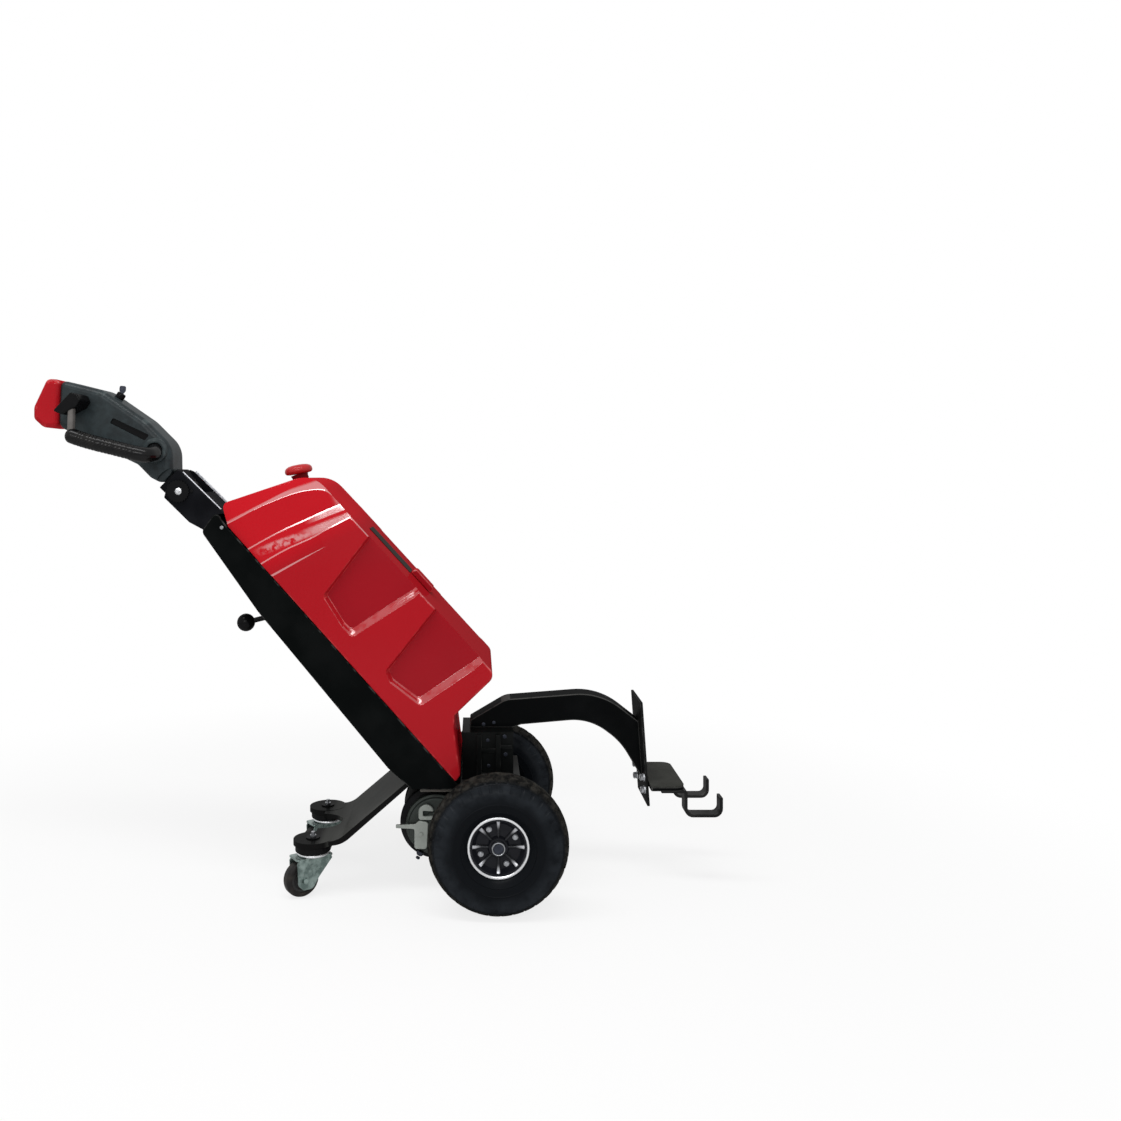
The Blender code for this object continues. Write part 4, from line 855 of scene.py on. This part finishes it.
# --- Stand and casters -----------------------------------------------------------------
# A bent steel plate leans down from the tray to two round lobes. Each lobe carries a
# swivel caster with a zinc-plated pressed fork and a black rubber wheel.
SWIVEL_X = -0.396
SLOPE = radians(40.1)
bend = (-0.343, 0.118)
slope = (bend, (bend[0] + cos(SLOPE), bend[1] + sin(SLOPE)))
fold = beside(slope, 0.01 * tan(SLOPE / 2), -0.01)
top, foot = beside(slope, 0.1935, 0), beside(slope, 0.1955, -0.01)
stand = rounded([(*top, 0), (*bend, 0.05), (SWIVEL_X, 0.118, 0), (SWIVEL_X, 0.108, 0),
                 (fold.x, 0.108, 0.06), (*foot, 0)], 10)
LOBE_OUT = 0.113


def drum(x, y, low, high, radius, steps=64):
    """Upright round solid."""
    return extrude([(x + radius * cos(tau * step / steps),
                     y + radius * sin(tau * step / steps)) for step in range(steps)],
                   low, high, "Z")


lobes = [drum(SWIVEL_X, sign * LOBE_OUT, 0.107, 0.1185, 0.042) for sign in (-1, 1)]
stand = joined(plate(stand, 0.135, 0.0016, 2, 50), lobes, "UNION")
stand = joined(stand, [drum(SWIVEL_X, 0, 0.09, 0.14, 0.05)])
plate_paint, place = new_finish("stand_grey")
side_face = place.facing().reach((0, 1, 0))
# Near black on the plate's side faces, and painted shade on the lobe end under the swivel
# housings.
dark_sides_and_shade = side_face.ease(0.5, 0.8) + place.along((-1, 0, 0)).ease(0.368, 0.388)
grain = place.noise(22, 4)
grey = grain.mix((0.032, 0.033, 0.031), (0.05, 0.051, 0.047))
dress(plate_paint, Base_Color=dark_sides_and_shade.mix(grey, (0.0035, 0.0035, 0.0035)),
      Roughness=grain * 0.15 + 0.3, Normal=place.noise(500, 3).bump(0.0002), coat=(0.12, 0.25))
add_piece("stand_bent", stand, plate_paint, "painted_grey", "stand_plate", smooth=30)

zinc = plain("zinc_plate", (0.11, 0.15, 0.14), (0.27, 0.34, 0.32), (70, 5, 0.35, 0.7),
             (0.2, 0.22), (400, 3, 0.0003), Metallic=0.85)
core = plain("wheel_core", (0.02, 0.02, 0.021), (0.035, 0.034, 0.033), (80,),
             (0.2, 0.4, 300), (700, 2, 0.0002), Specular_IOR_Level=0.2)
wheel_rubber = plain("caster_rubber", (0.011, 0.01, 0.01), (0.028, 0.024, 0.021),
                     (60, 4, 0.4, 0.7), (0.15, 0.5), (800, 2, 0.0003), Specular_IOR_Level=0.16)

TRAIL = 0.028
ROLL = 0.0375
YAW = Matrix.Rotation(radians(34), 4, "Z")
for side, sign in SIDES:
    middle = sign * LOBE_OUT
    hang = ((SWIVEL_X, middle, 0), YAW)
    socket = [round_edges(drum(SWIVEL_X, middle, 0.092, 0.1067, 0.038), 0.0025, 3, 60),
              round_edges(drum(SWIVEL_X, middle, 0.1187, 0.121, 0.015), 0.0008, 2, 60)]
    add_piece("swivel_housing_" + side, merged(socket), moulded, "painted_black",
              "caster_socket_" + side)
    stud = [hex_bolt((SWIVEL_X, middle, 0.121), (0, 0, 1), 0.012, 0.007),
            drum(SWIVEL_X, middle, 0.1265, 0.132, 0.0042, 24)]
    add_piece("swivel_stud_" + side, merged(stud), steel, "zinc")
    # Painted highlight: the swivel's zinc ring takes the bright turned-metal finish, paler than
    # the fork.
    ring = lathe([(0.0265, 0.085), (0.033, 0.085), (0.0345, 0.0862), (0.035, 0.088),
                  (0.0345, 0.0898), (0.033, 0.0912), (0.0265, 0.0912)], 64)
    ring = moved(ring, (0, 0, 0), Matrix.Rotation(pi / 2, 4, "X"))
    add_piece("swivel_ring_" + side, moved(ring, *hang), bright, "zinc",
              body="caster_swivel_" + side)
    top = rounded([(-0.047, -0.022, 0.005), (0.037, -0.022, 0.005), (0.037, 0.022, 0.005),
                   (-0.047, 0.022, 0.005)])
    leg = rounded([(0.031, 0.0825, 0), (-0.041, 0.0825, 0), (-0.046, 0.074, 0.004),
                   (-0.044, 0.03, 0.012), (-0.032, 0.018, 0.01), (-0.01, 0.018, 0.012),
                   (0.004, 0.04, 0.02), (0.036, 0.077, 0.004)])
    fork = joined(round_edges(extrude(top, 0.0805, 0.0845, "Z"), 0.0012, 3, 60),
                  [extrude(leg, -0.021, -0.018), extrude(leg, 0.018, 0.021),
                   drum(0, 0, 0.0825, 0.0914, 0.027)], "UNION")
    rod = lathe(mirrored([(0.004, 0.0212), (CORE, 0.0212)]), 24)
    nuts = [hex_bolt((-TRAIL, out * 0.021, ROLL), (0, out, 0), 0.01, 0.005, 0.007)
            for out in (-1, 1)]
    fork = merged([fork, *nuts, moved(rod, (-TRAIL, 0, ROLL))])
    add_piece("fork_" + side, moved(fork, *hang), zinc, "zinc", "caster_fork_" + side,
              body="caster_swivel_" + side, smooth=30)
    hub = lathe(mirrored([(0.0262, 0.011), (0.021, 0.0108), (0.019, 0.0085), (0.013, 0.0085),
                          (0.0115, 0.015), (0.005, 0.016)]), 48)
    band = lathe(mirrored([(0.0264, 0.0128), (0.029, 0.013), (0.033, 0.0122),
                           (0.0362, 0.0098), (0.0375, 0.006)]), 64)
    for name, made, finish, slot, node in (
            ("wheel_core_", hub, core, "caster_plastic", "caster_wheel_" + side),
            ("wheel_band_", band, wheel_rubber, "tyre_rubber", "caster_tyre_" + side)):
        made = moved(moved(made, (-TRAIL, 0, ROLL)), *hang)
        add_piece(name + side, made, finish, slot, node, body="caster_roller_" + side)


# --- Drive unit ------------------------------------------------------------------------
# The motor lies across the tug behind the axle, bolted to the gear case, with a cast
# electric brake and its hand-release lever on the near end.
CENTRE = (-0.1325, 0.14)
case_paint = powder("motor_black", (0.01, 0.01, 0.011), (0.02, 0.02, 0.021), 0.38)
cast_grey = plain("brake_casting", (0.022, 0.028, 0.025), (0.055, 0.064, 0.058), (25, 4),
                  (0.2, 0.38, 260, 4), (260, 4, 0.0006), Metallic=0.35, Specular_IOR_Level=0.2)
cast_pale = plain("lever_casting", (0.2, 0.22, 0.2), (0.4, 0.43, 0.4), (30, 4),
                  (0.2, 0.32, 260, 4), (260, 4, 0.0006), Metallic=0.4)

motor = lathe(mirrored([(0.0765, 0.062), (0.079, 0.064), (0.079, 0.073), (0.0782, 0.0765),
                        (0.0745, 0.078), (CORE, 0.078)]), 96)
brake = lathe([
    (CORE, -0.1023), (0.03, -0.1023), (0.031, -0.0995), (0.056, -0.0995), (0.058, -0.0985),
    (0.06, -0.093), (0.0645, -0.092), (0.066, -0.09), (0.066, -0.0783), (CORE, -0.0783)], 96)
bolts = bolt_circle(0.045, -0.0995, -1, range(20, 380, 60), 0.007, 0.0028)
x, z = CENTRE
add_piece("motor_case", moved(motor, (x, 0, z)), case_paint, "machine_grey", "drive_motor")
add_piece("brake_case", moved(merged([brake, bolts]), (x, 0, z)), cast_grey,
          "machine_grey", "motor_brake")


def on_brake(*corners):
    """Outline of a plate against the brake's end, from corners about the motor's middle."""
    return rounded([(x + right, z + up, radius) for right, up, radius in corners])


LEVER_FACE = (-0.1086, -0.1026)
lever = on_brake(
    (-0.086, 0.004, 0.002), (-0.086, -0.003, 0.002), (-0.046, -0.005, 0.004),
    (-0.046, -0.048, 0.006), (-0.019, -0.048, 0.006), (-0.016, 0.01, 0.006),
    (-0.036, 0.013, 0.004), (-0.044, 0.006, 0.004))
yoke = on_brake((-0.037, 0.0145, 0.006), (-0.007, 0.0145, 0.006), (-0.005, 0.04, 0.01),
                (-0.02, 0.051, 0.014), (-0.037, 0.04, 0.012))
mouth = on_brake((-0.028, 0.022, 0.003), (0.002, 0.024, 0.003), (0.002, 0.033, 0.003),
                 (-0.028, 0.035, 0.003))
lever = merged([round_edges(extrude(lever, *LEVER_FACE), 0.0014, 3, 50),
                joined(round_edges(extrude(yoke, *LEVER_FACE), 0.0016, 3, 50),
                       [extrude(mouth, -0.12, -0.09)]),
                hex_bolt((x - 0.032, -0.1088, z - 0.016), (0, -1, 0), 0.008, 0.003)])
add_piece("release_lever", lever, cast_pale, "zinc", "brake_lever", smooth=30)
gland = [hex_bolt((x - 0.033, -0.092, z - 0.0585), (-0.42, 0, -0.91), 0.013, 0.012),
         hex_bolt((x - 0.0385, -0.092, z - 0.0704), (-0.42, 0, -0.91), 0.008, 0.006)]
add_piece("brake_gland", merged(gland), dull_steel, "zinc")

# Small bolts stand on the carrier's faces and the arm's foot, rails on the carrier's faces.
carrier_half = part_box("drive_carrier")[1].y
foot_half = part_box("hitch_arm")[1].y
# Bolts as x, z, size and face; rails as left, right, low, high and how far they stand out.
BOLTS = ((-0.029, 0.343, 0.008, foot_half), (-0.006, 0.347, 0.007, foot_half),
         (0.017, 0.326, 0.008, carrier_half), (-0.02, 0.318, 0.007, carrier_half),
         (0.019, 0.287, 0.008, carrier_half), (-0.018, 0.262, 0.007, carrier_half))
RAILS = ((-0.044, -0.033, 0.24, 0.331, 0.007), (-0.002, 0.008, 0.24, 0.331, 0.01),
         (-0.033, -0.002, 0.292, 0.301, 0.006), (0.008, 0.033, 0.3, 0.308, 0.006),
         (-0.033, -0.002, 0.24, 0.248, 0.006))
small, rails = [], []
for sign in (-1, 1):
    for x, z, across, face in BOLTS:
        small.append(hex_bolt((x, sign * (face + 0.0002), z), (0, sign, 0), across, 0.004))
    for left, right, low, high, proud in RAILS:
        rail = extrude([(left, low), (right, low), (right, high), (left, high)],
                       sign * (carrier_half + GAP), sign * (carrier_half + proud))
        rails.append(round_edges(rail, 0.0012, 2))
add_piece("carrier_bolts", merged(small), dull_steel, "zinc")

# The plates and cases between the wheels stay as they are drawn, painted or cast.
gear_cast = powder("gear_case", (0.012, 0.012, 0.013), (0.026, 0.026, 0.026), 0.4)
base_paint, place = new_finish("base_grey")
# The side faces are paler than the other faces.
rim_side = place.facing().reach((0, 1, 0)).ease(0.4, 0.7)
pale_tone = place.noise(30, 4).mix((0.12, 0.112, 0.1), (0.18, 0.168, 0.15))
dark = place.noise(20, 4).mix((0.018, 0.018, 0.0175), (0.038, 0.038, 0.036))
dress(base_paint, Base_Color=rim_side.mix(dark, pale_tone), Roughness=place.noise(90) * 0.2 + 0.36,
      Normal=place.noise(300, 3).bump(0.0002), coat=(0.15, 0.3))
carrier_paint = powder("carrier_black", (0.004, 0.0046, 0.0045), (0.009, 0.01, 0.0098), 0.34,
                       sheen=0.12)
add_piece("carrier_rails", merged(rails), carrier_paint, "painted_black")
case_grey = powder("battery_grey", (0.03, 0.03, 0.031), (0.05, 0.05, 0.05), 0.55)
for node, finish, slot in (
        ("gearbox", gear_cast, "machine_grey"), ("base_plate", base_paint, "painted_grey"),
        ("drive_carrier", carrier_paint, "painted_black"), ("axle_near", dull_steel, "zinc"),
        ("axle_far", dull_steel, "zinc"), ("motor_bracket", gear_cast, "painted_black"),
        ("battery_block", case_grey, "battery_case")):
    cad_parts[node].material_slots[0].material = finish


# --- Tiller ----------------------------------------------------------------------------
# The box sleeve in the tray's mouth holds the tiller's tongue on a cross bolt. The head
# is moulded in grey plastic, with a red button on its end and a hand loop on each side.
TILT = (-0.703, 0.863)
sleeve_paint = powder("sleeve_black", (0.0035, 0.0038, 0.005), (0.011, 0.0115, 0.014), 0.32)


def pivot_disc(radius, low, high, teeth=0):
    """Round solid about the pivot's line, its rim notched by the depth of its teeth."""
    rim = []
    for step in range(96):
        around = tau * step / 96
        reach = radius - (teeth if step % 4 < 2 else 0)
        rim.append((TILT[0] + reach * cos(around), TILT[1] + reach * sin(around)))
    return extrude(rim, low, high)


sleeve = joined(plate(sleeve_side, SLEEVE_HALF, 0.0022, 3, 30),
                [extrude(strip(sleeve_line, -0.03, 0.066, -0.08, 0.01), -0.049, 0.049),
                 pivot_disc(0.0086, -0.07, 0.07)])
add_piece("sleeve_box", sleeve, sleeve_paint, "painted_black", "handle_sleeve", smooth=30)

# Painted reflection: thin pale steel strips on the sleeve walls' top edges stand in for light on
# them.
painted_reflection_steel = plain("painted_reflection_steel", (0.42, 0.44, 0.48), (0.72, 0.74, 0.78), (160, 4, 0.3, 0.7),
                   (0.15, 0.25), (500, 2, 0.0001), Metallic=0.5)
strips = []
for sign, top in ((-1, 0.002), (1, 0.0048)):
    edge = extrude(strip(sleeve_line, 0.003, 0.121, GAP, top), sign * 0.049,
                   sign * (SLEEVE_HALF - 0.0012))
    strips.append(round_edges(edge, 0.0004, 2))
add_piece("sleeve_reflection_strips", merged(strips), painted_reflection_steel, "zinc")

tongue_paint = powder("tongue_black", (0.004, 0.004, 0.005), (0.01, 0.01, 0.011), 0.34)
shank = [beside(sleeve_line, along, out) for along, out in
         ((-0.012, -0.004), (0.02, -0.0075), (0.026, -0.062), (-0.012, -0.062))]
pivot = (TILT[0], 0, TILT[1])
eye_end = lathe(mirrored([(0.027, 0.0415), (0.0255, 0.043), (CORE, 0.043)]), 96)
tongue = joined(plate(shank, 0.043, 0.002, 3, 30), [moved(eye_end, pivot)], "UNION")
add_piece("tongue", tongue, tongue_paint, "painted_black", "handle_neck", body="tiller",
          smooth=30)
pin = lathe(mirrored([(0.008, 0.0555), (0.004, 0.056), (0.004, 0.0602), (0.0032, 0.061),
                      (CORE, 0.061)]), 48)
add_piece("pivot_pin", moved(pin, pivot), bright, "zinc", body="tiller")
toothed = []
for sign in (-1, 1):
    gear = pivot_disc(0.0255, sign * (SLEEVE_HALF + GAP), sign * (SLEEVE_HALF + 0.004), 0.002)
    spot = (-0.673, sign * (SLEEVE_HALF + 0.0001), 0.863)
    toothed += [joined(gear, [pivot_disc(0.0083, -0.07, 0.07)]),
                hex_bolt(spot, (0, sign, 0), 0.006, 0.0025)]
add_piece("toothed_discs", merged(toothed), moulded, "black_plastic")

BALL = 0.02
ball = Vector((-0.565, 0, 0.566))
foot = beside(((-0.507, 0.608), (-0.232, 0.277)), 0.029, -GAP)
reach = Vector((foot.x, 0, foot.y)) - ball
globe = [(BALL * sin(angle), -BALL * cos(angle))
         for angle in map(radians, range(10, 166, 5))]
knob = lathe([(CORE, -BALL), *globe, (0.0058, 0.0205), (0.0058, reach.length),
              (CORE, reach.length)], 48)
add_piece("ball_knob", moved(knob, ball, pointing(reach)), moulded, "black_plastic",
          "release_knob")

HEAD_HALF = 0.05
head_grey, place = new_finish("head_grey")
tone = place.noise(14, 4)
rub = rubbed(place, 60, 0.42, 0.68)
blotch = place.noise(55, 5).ease(0.32, 0.68)
shade = tone.mix((0.01, 0.013, 0.015), (0.022, 0.029, 0.031))
shade = (blotch * 0.55).mix(shade, (0.03, 0.042, 0.046))
dress(head_grey, Base_Color=(rub * 0.7).mix(shade, (0.062, 0.078, 0.08)),
      Roughness=tone * 0.14 + 0.4, Normal=place.noise(520).bump(0.0004), coat=(0.3, 0.35))
head = rounded([
    (-0.967, 1.11, 0), (-0.8732, 1.0868, 0.06), (-0.7765, 1.0201, 0.09),
    (-0.7195, 0.9631, 0.06), (-0.7187, 0.9023, 0.018), (-0.7413, 0.8787, 0.018),
    (-0.768, 0.8925, 0.018), (-0.797, 0.922, 0.03), (-0.972, 1.006, 0)], 10)
slot = [(-0.856, 1.014), (-0.848, 1.025), (-0.768, 0.987), (-0.779, 0.975)]
slot_cut = rounded([(*corner, 0.003) for corner in slot])
cutters, inserts = [], []
for sign in (-1, 1):
    cutters += [extrude(slot_cut, sign * (HEAD_HALF - 0.008), sign * (HEAD_HALF + 0.01)),
                pivot_disc(0.055, sign * 0.043, sign * 0.07)]
    inserts.append(extrude(inset(slot, [0.0006] * 4), sign * (HEAD_HALF - 0.0077),
                           sign * (HEAD_HALF - 0.003)))
add_piece("head_shell", joined(plate(head, HEAD_HALF, 0.015, 5, 60), cutters), head_grey,
          "head_plastic", "tiller_head", body="tiller", smooth=30)
add_piece("head_inserts", merged(inserts), moulded, "black_plastic", body="tiller")

button = rounded([(-0.9673, 1.111, 0), (-0.9723, 1.004, 0), (-1.006, 1.004, 0.02),
                  (-1.0275, 1.024, 0.014), (-1.0275, 1.05, 0.024), (-0.998, 1.1125, 0.012)], 8)
add_piece("reverse_button", plate(button, 0.048, 0.014, 5, 60), gloss, "cover_red",
          "end_button", body="tiller", smooth=30)

key_seat = seat_on(((-0.8732, 1.0868), (-0.7765, 1.0201)), 0.026)
barrel = lathe([(CORE, 0), (0.01, 0), (0.01, 0.01), (0.0086, 0.0125), (CORE, 0.0125)], 48)
bow = rounded([(-0.003, 0, 0), (0.003, 0, 0), (0.0072, 0.0063, 0.002),
               (0.0072, 0.0173, 0.004), (-0.0072, 0.0173, 0.004), (-0.0072, 0.0063, 0.002)])
bow = moved(extrude(bow, -0.0012, 0.0012, "Z"), (0, 0.0127, 0),
            Matrix.Rotation(radians(30), 4, "X") @ Matrix.Rotation(radians(90), 4, "Y"))
add_piece("key_barrel", moved(barrel, *key_seat), moulded, "black_plastic", "key_switch",
          body="tiller")
add_piece("key_bow", moved(round_edges(bow, 0.0004, 2), *key_seat), dull_steel, "zinc",
          body="tiller")

GRIP_ROUTE = ((-0.755, 0.0505, 0.953), (-0.752, 0.08, 0.945), (-0.768, 0.106, 0.943),
              (-0.83, 0.108, 0.958), (-0.888, 0.108, 0.973), (-0.931, 0.107, 0.988))
BAR_SIDES = 28


def swept(route, radius_at):
    """Round bar along a route; its radius may change with the share of the way."""
    rings = []
    side = None
    for index, point in enumerate(route):
        ahead = route[min(index + 1, len(route) - 1)] - route[max(index - 1, 0)]
        ahead.normalize()
        if side is None:
            side = ahead.orthogonal().normalized()
        side = (side - ahead * side.dot(ahead)).normalized()
        other = ahead.cross(side)
        radius = radius_at(index / (len(route) - 1))
        rings.append([point + (side * cos(tau * k / BAR_SIDES)
                               + other * sin(tau * k / BAR_SIDES)) * radius
                      for k in range(BAR_SIDES)])
    return skinned(rings)


grip_rubber = plain("grip_rubber", (0.003, 0.003, 0.0034), (0.009, 0.0085, 0.008),
                    (35, 4, 0.42, 0.72), (0.12, 0.42), (700, 2, 0.0004), coat=(0.35, 0.2))


def grip_radius(share):
    """Rounded blind end; small finger rings along the handle."""
    end = max(0, (share - 0.93) / 0.07)
    ring = 0.45 < share < 0.86 and int(share * 130) % 3 == 0
    return 0.0165 * sqrt(max(0.02, 1 - end * end)) - (0.001 if ring else 0)


post_grey = plain("post_grey", (0.085, 0.078, 0.074), (0.155, 0.145, 0.138), (60, 3),
                  (0.2, 0.35, 200), (500, 2, 0.0002), Specular_IOR_Level=0.2)
thumb = rounded([(-0.956, 1.037, 0.003), (-0.937, 1.029, 0.004), (-0.905, 1.046, 0.004),
                 (-0.897, 1.06, 0.006), (-0.903, 1.073, 0.006), (-0.918, 1.077, 0.006)])
for side, sign in SIDES:
    route = curve_through([(x, sign * lateral, z) for x, lateral, z in GRIP_ROUTE], 24)
    add_piece("hand_loop_" + side, swept(route, grip_radius), grip_rubber, "grip_rubber",
              "grip_" + side, body="tiller", smooth=30)
    post = extrude([(-0.9265, 0.984), (-0.9135, 0.988), (-0.9125, 1.05), (-0.9245, 1.05)],
                   sign * 0.096, sign * 0.114)
    add_piece("loop_post_" + side, round_edges(post, 0.004, 3), post_grey, "head_plastic",
              body="tiller")
    lever = extrude(thumb, sign * (HEAD_HALF + GAP), sign * 0.116)
    add_piece("thumb_unit_" + side, round_edges(lever, 0.003, 3, 50), moulded,
              "black_plastic", body="tiller", smooth=30)
    collar = lathe([(0.017, 0.0503), (0.027, 0.0503), (0.0275, 0.0525), (0.0262, 0.056),
                    (0.022, 0.058), (0.0175, 0.057)], 48)
    collar = moved(collar, (-0.755, 0, 0.953), Matrix.Diagonal((1, sign, 1, 1)))
    add_piece("loop_collar_" + side, collar, head_grey, "head_plastic", body="tiller")
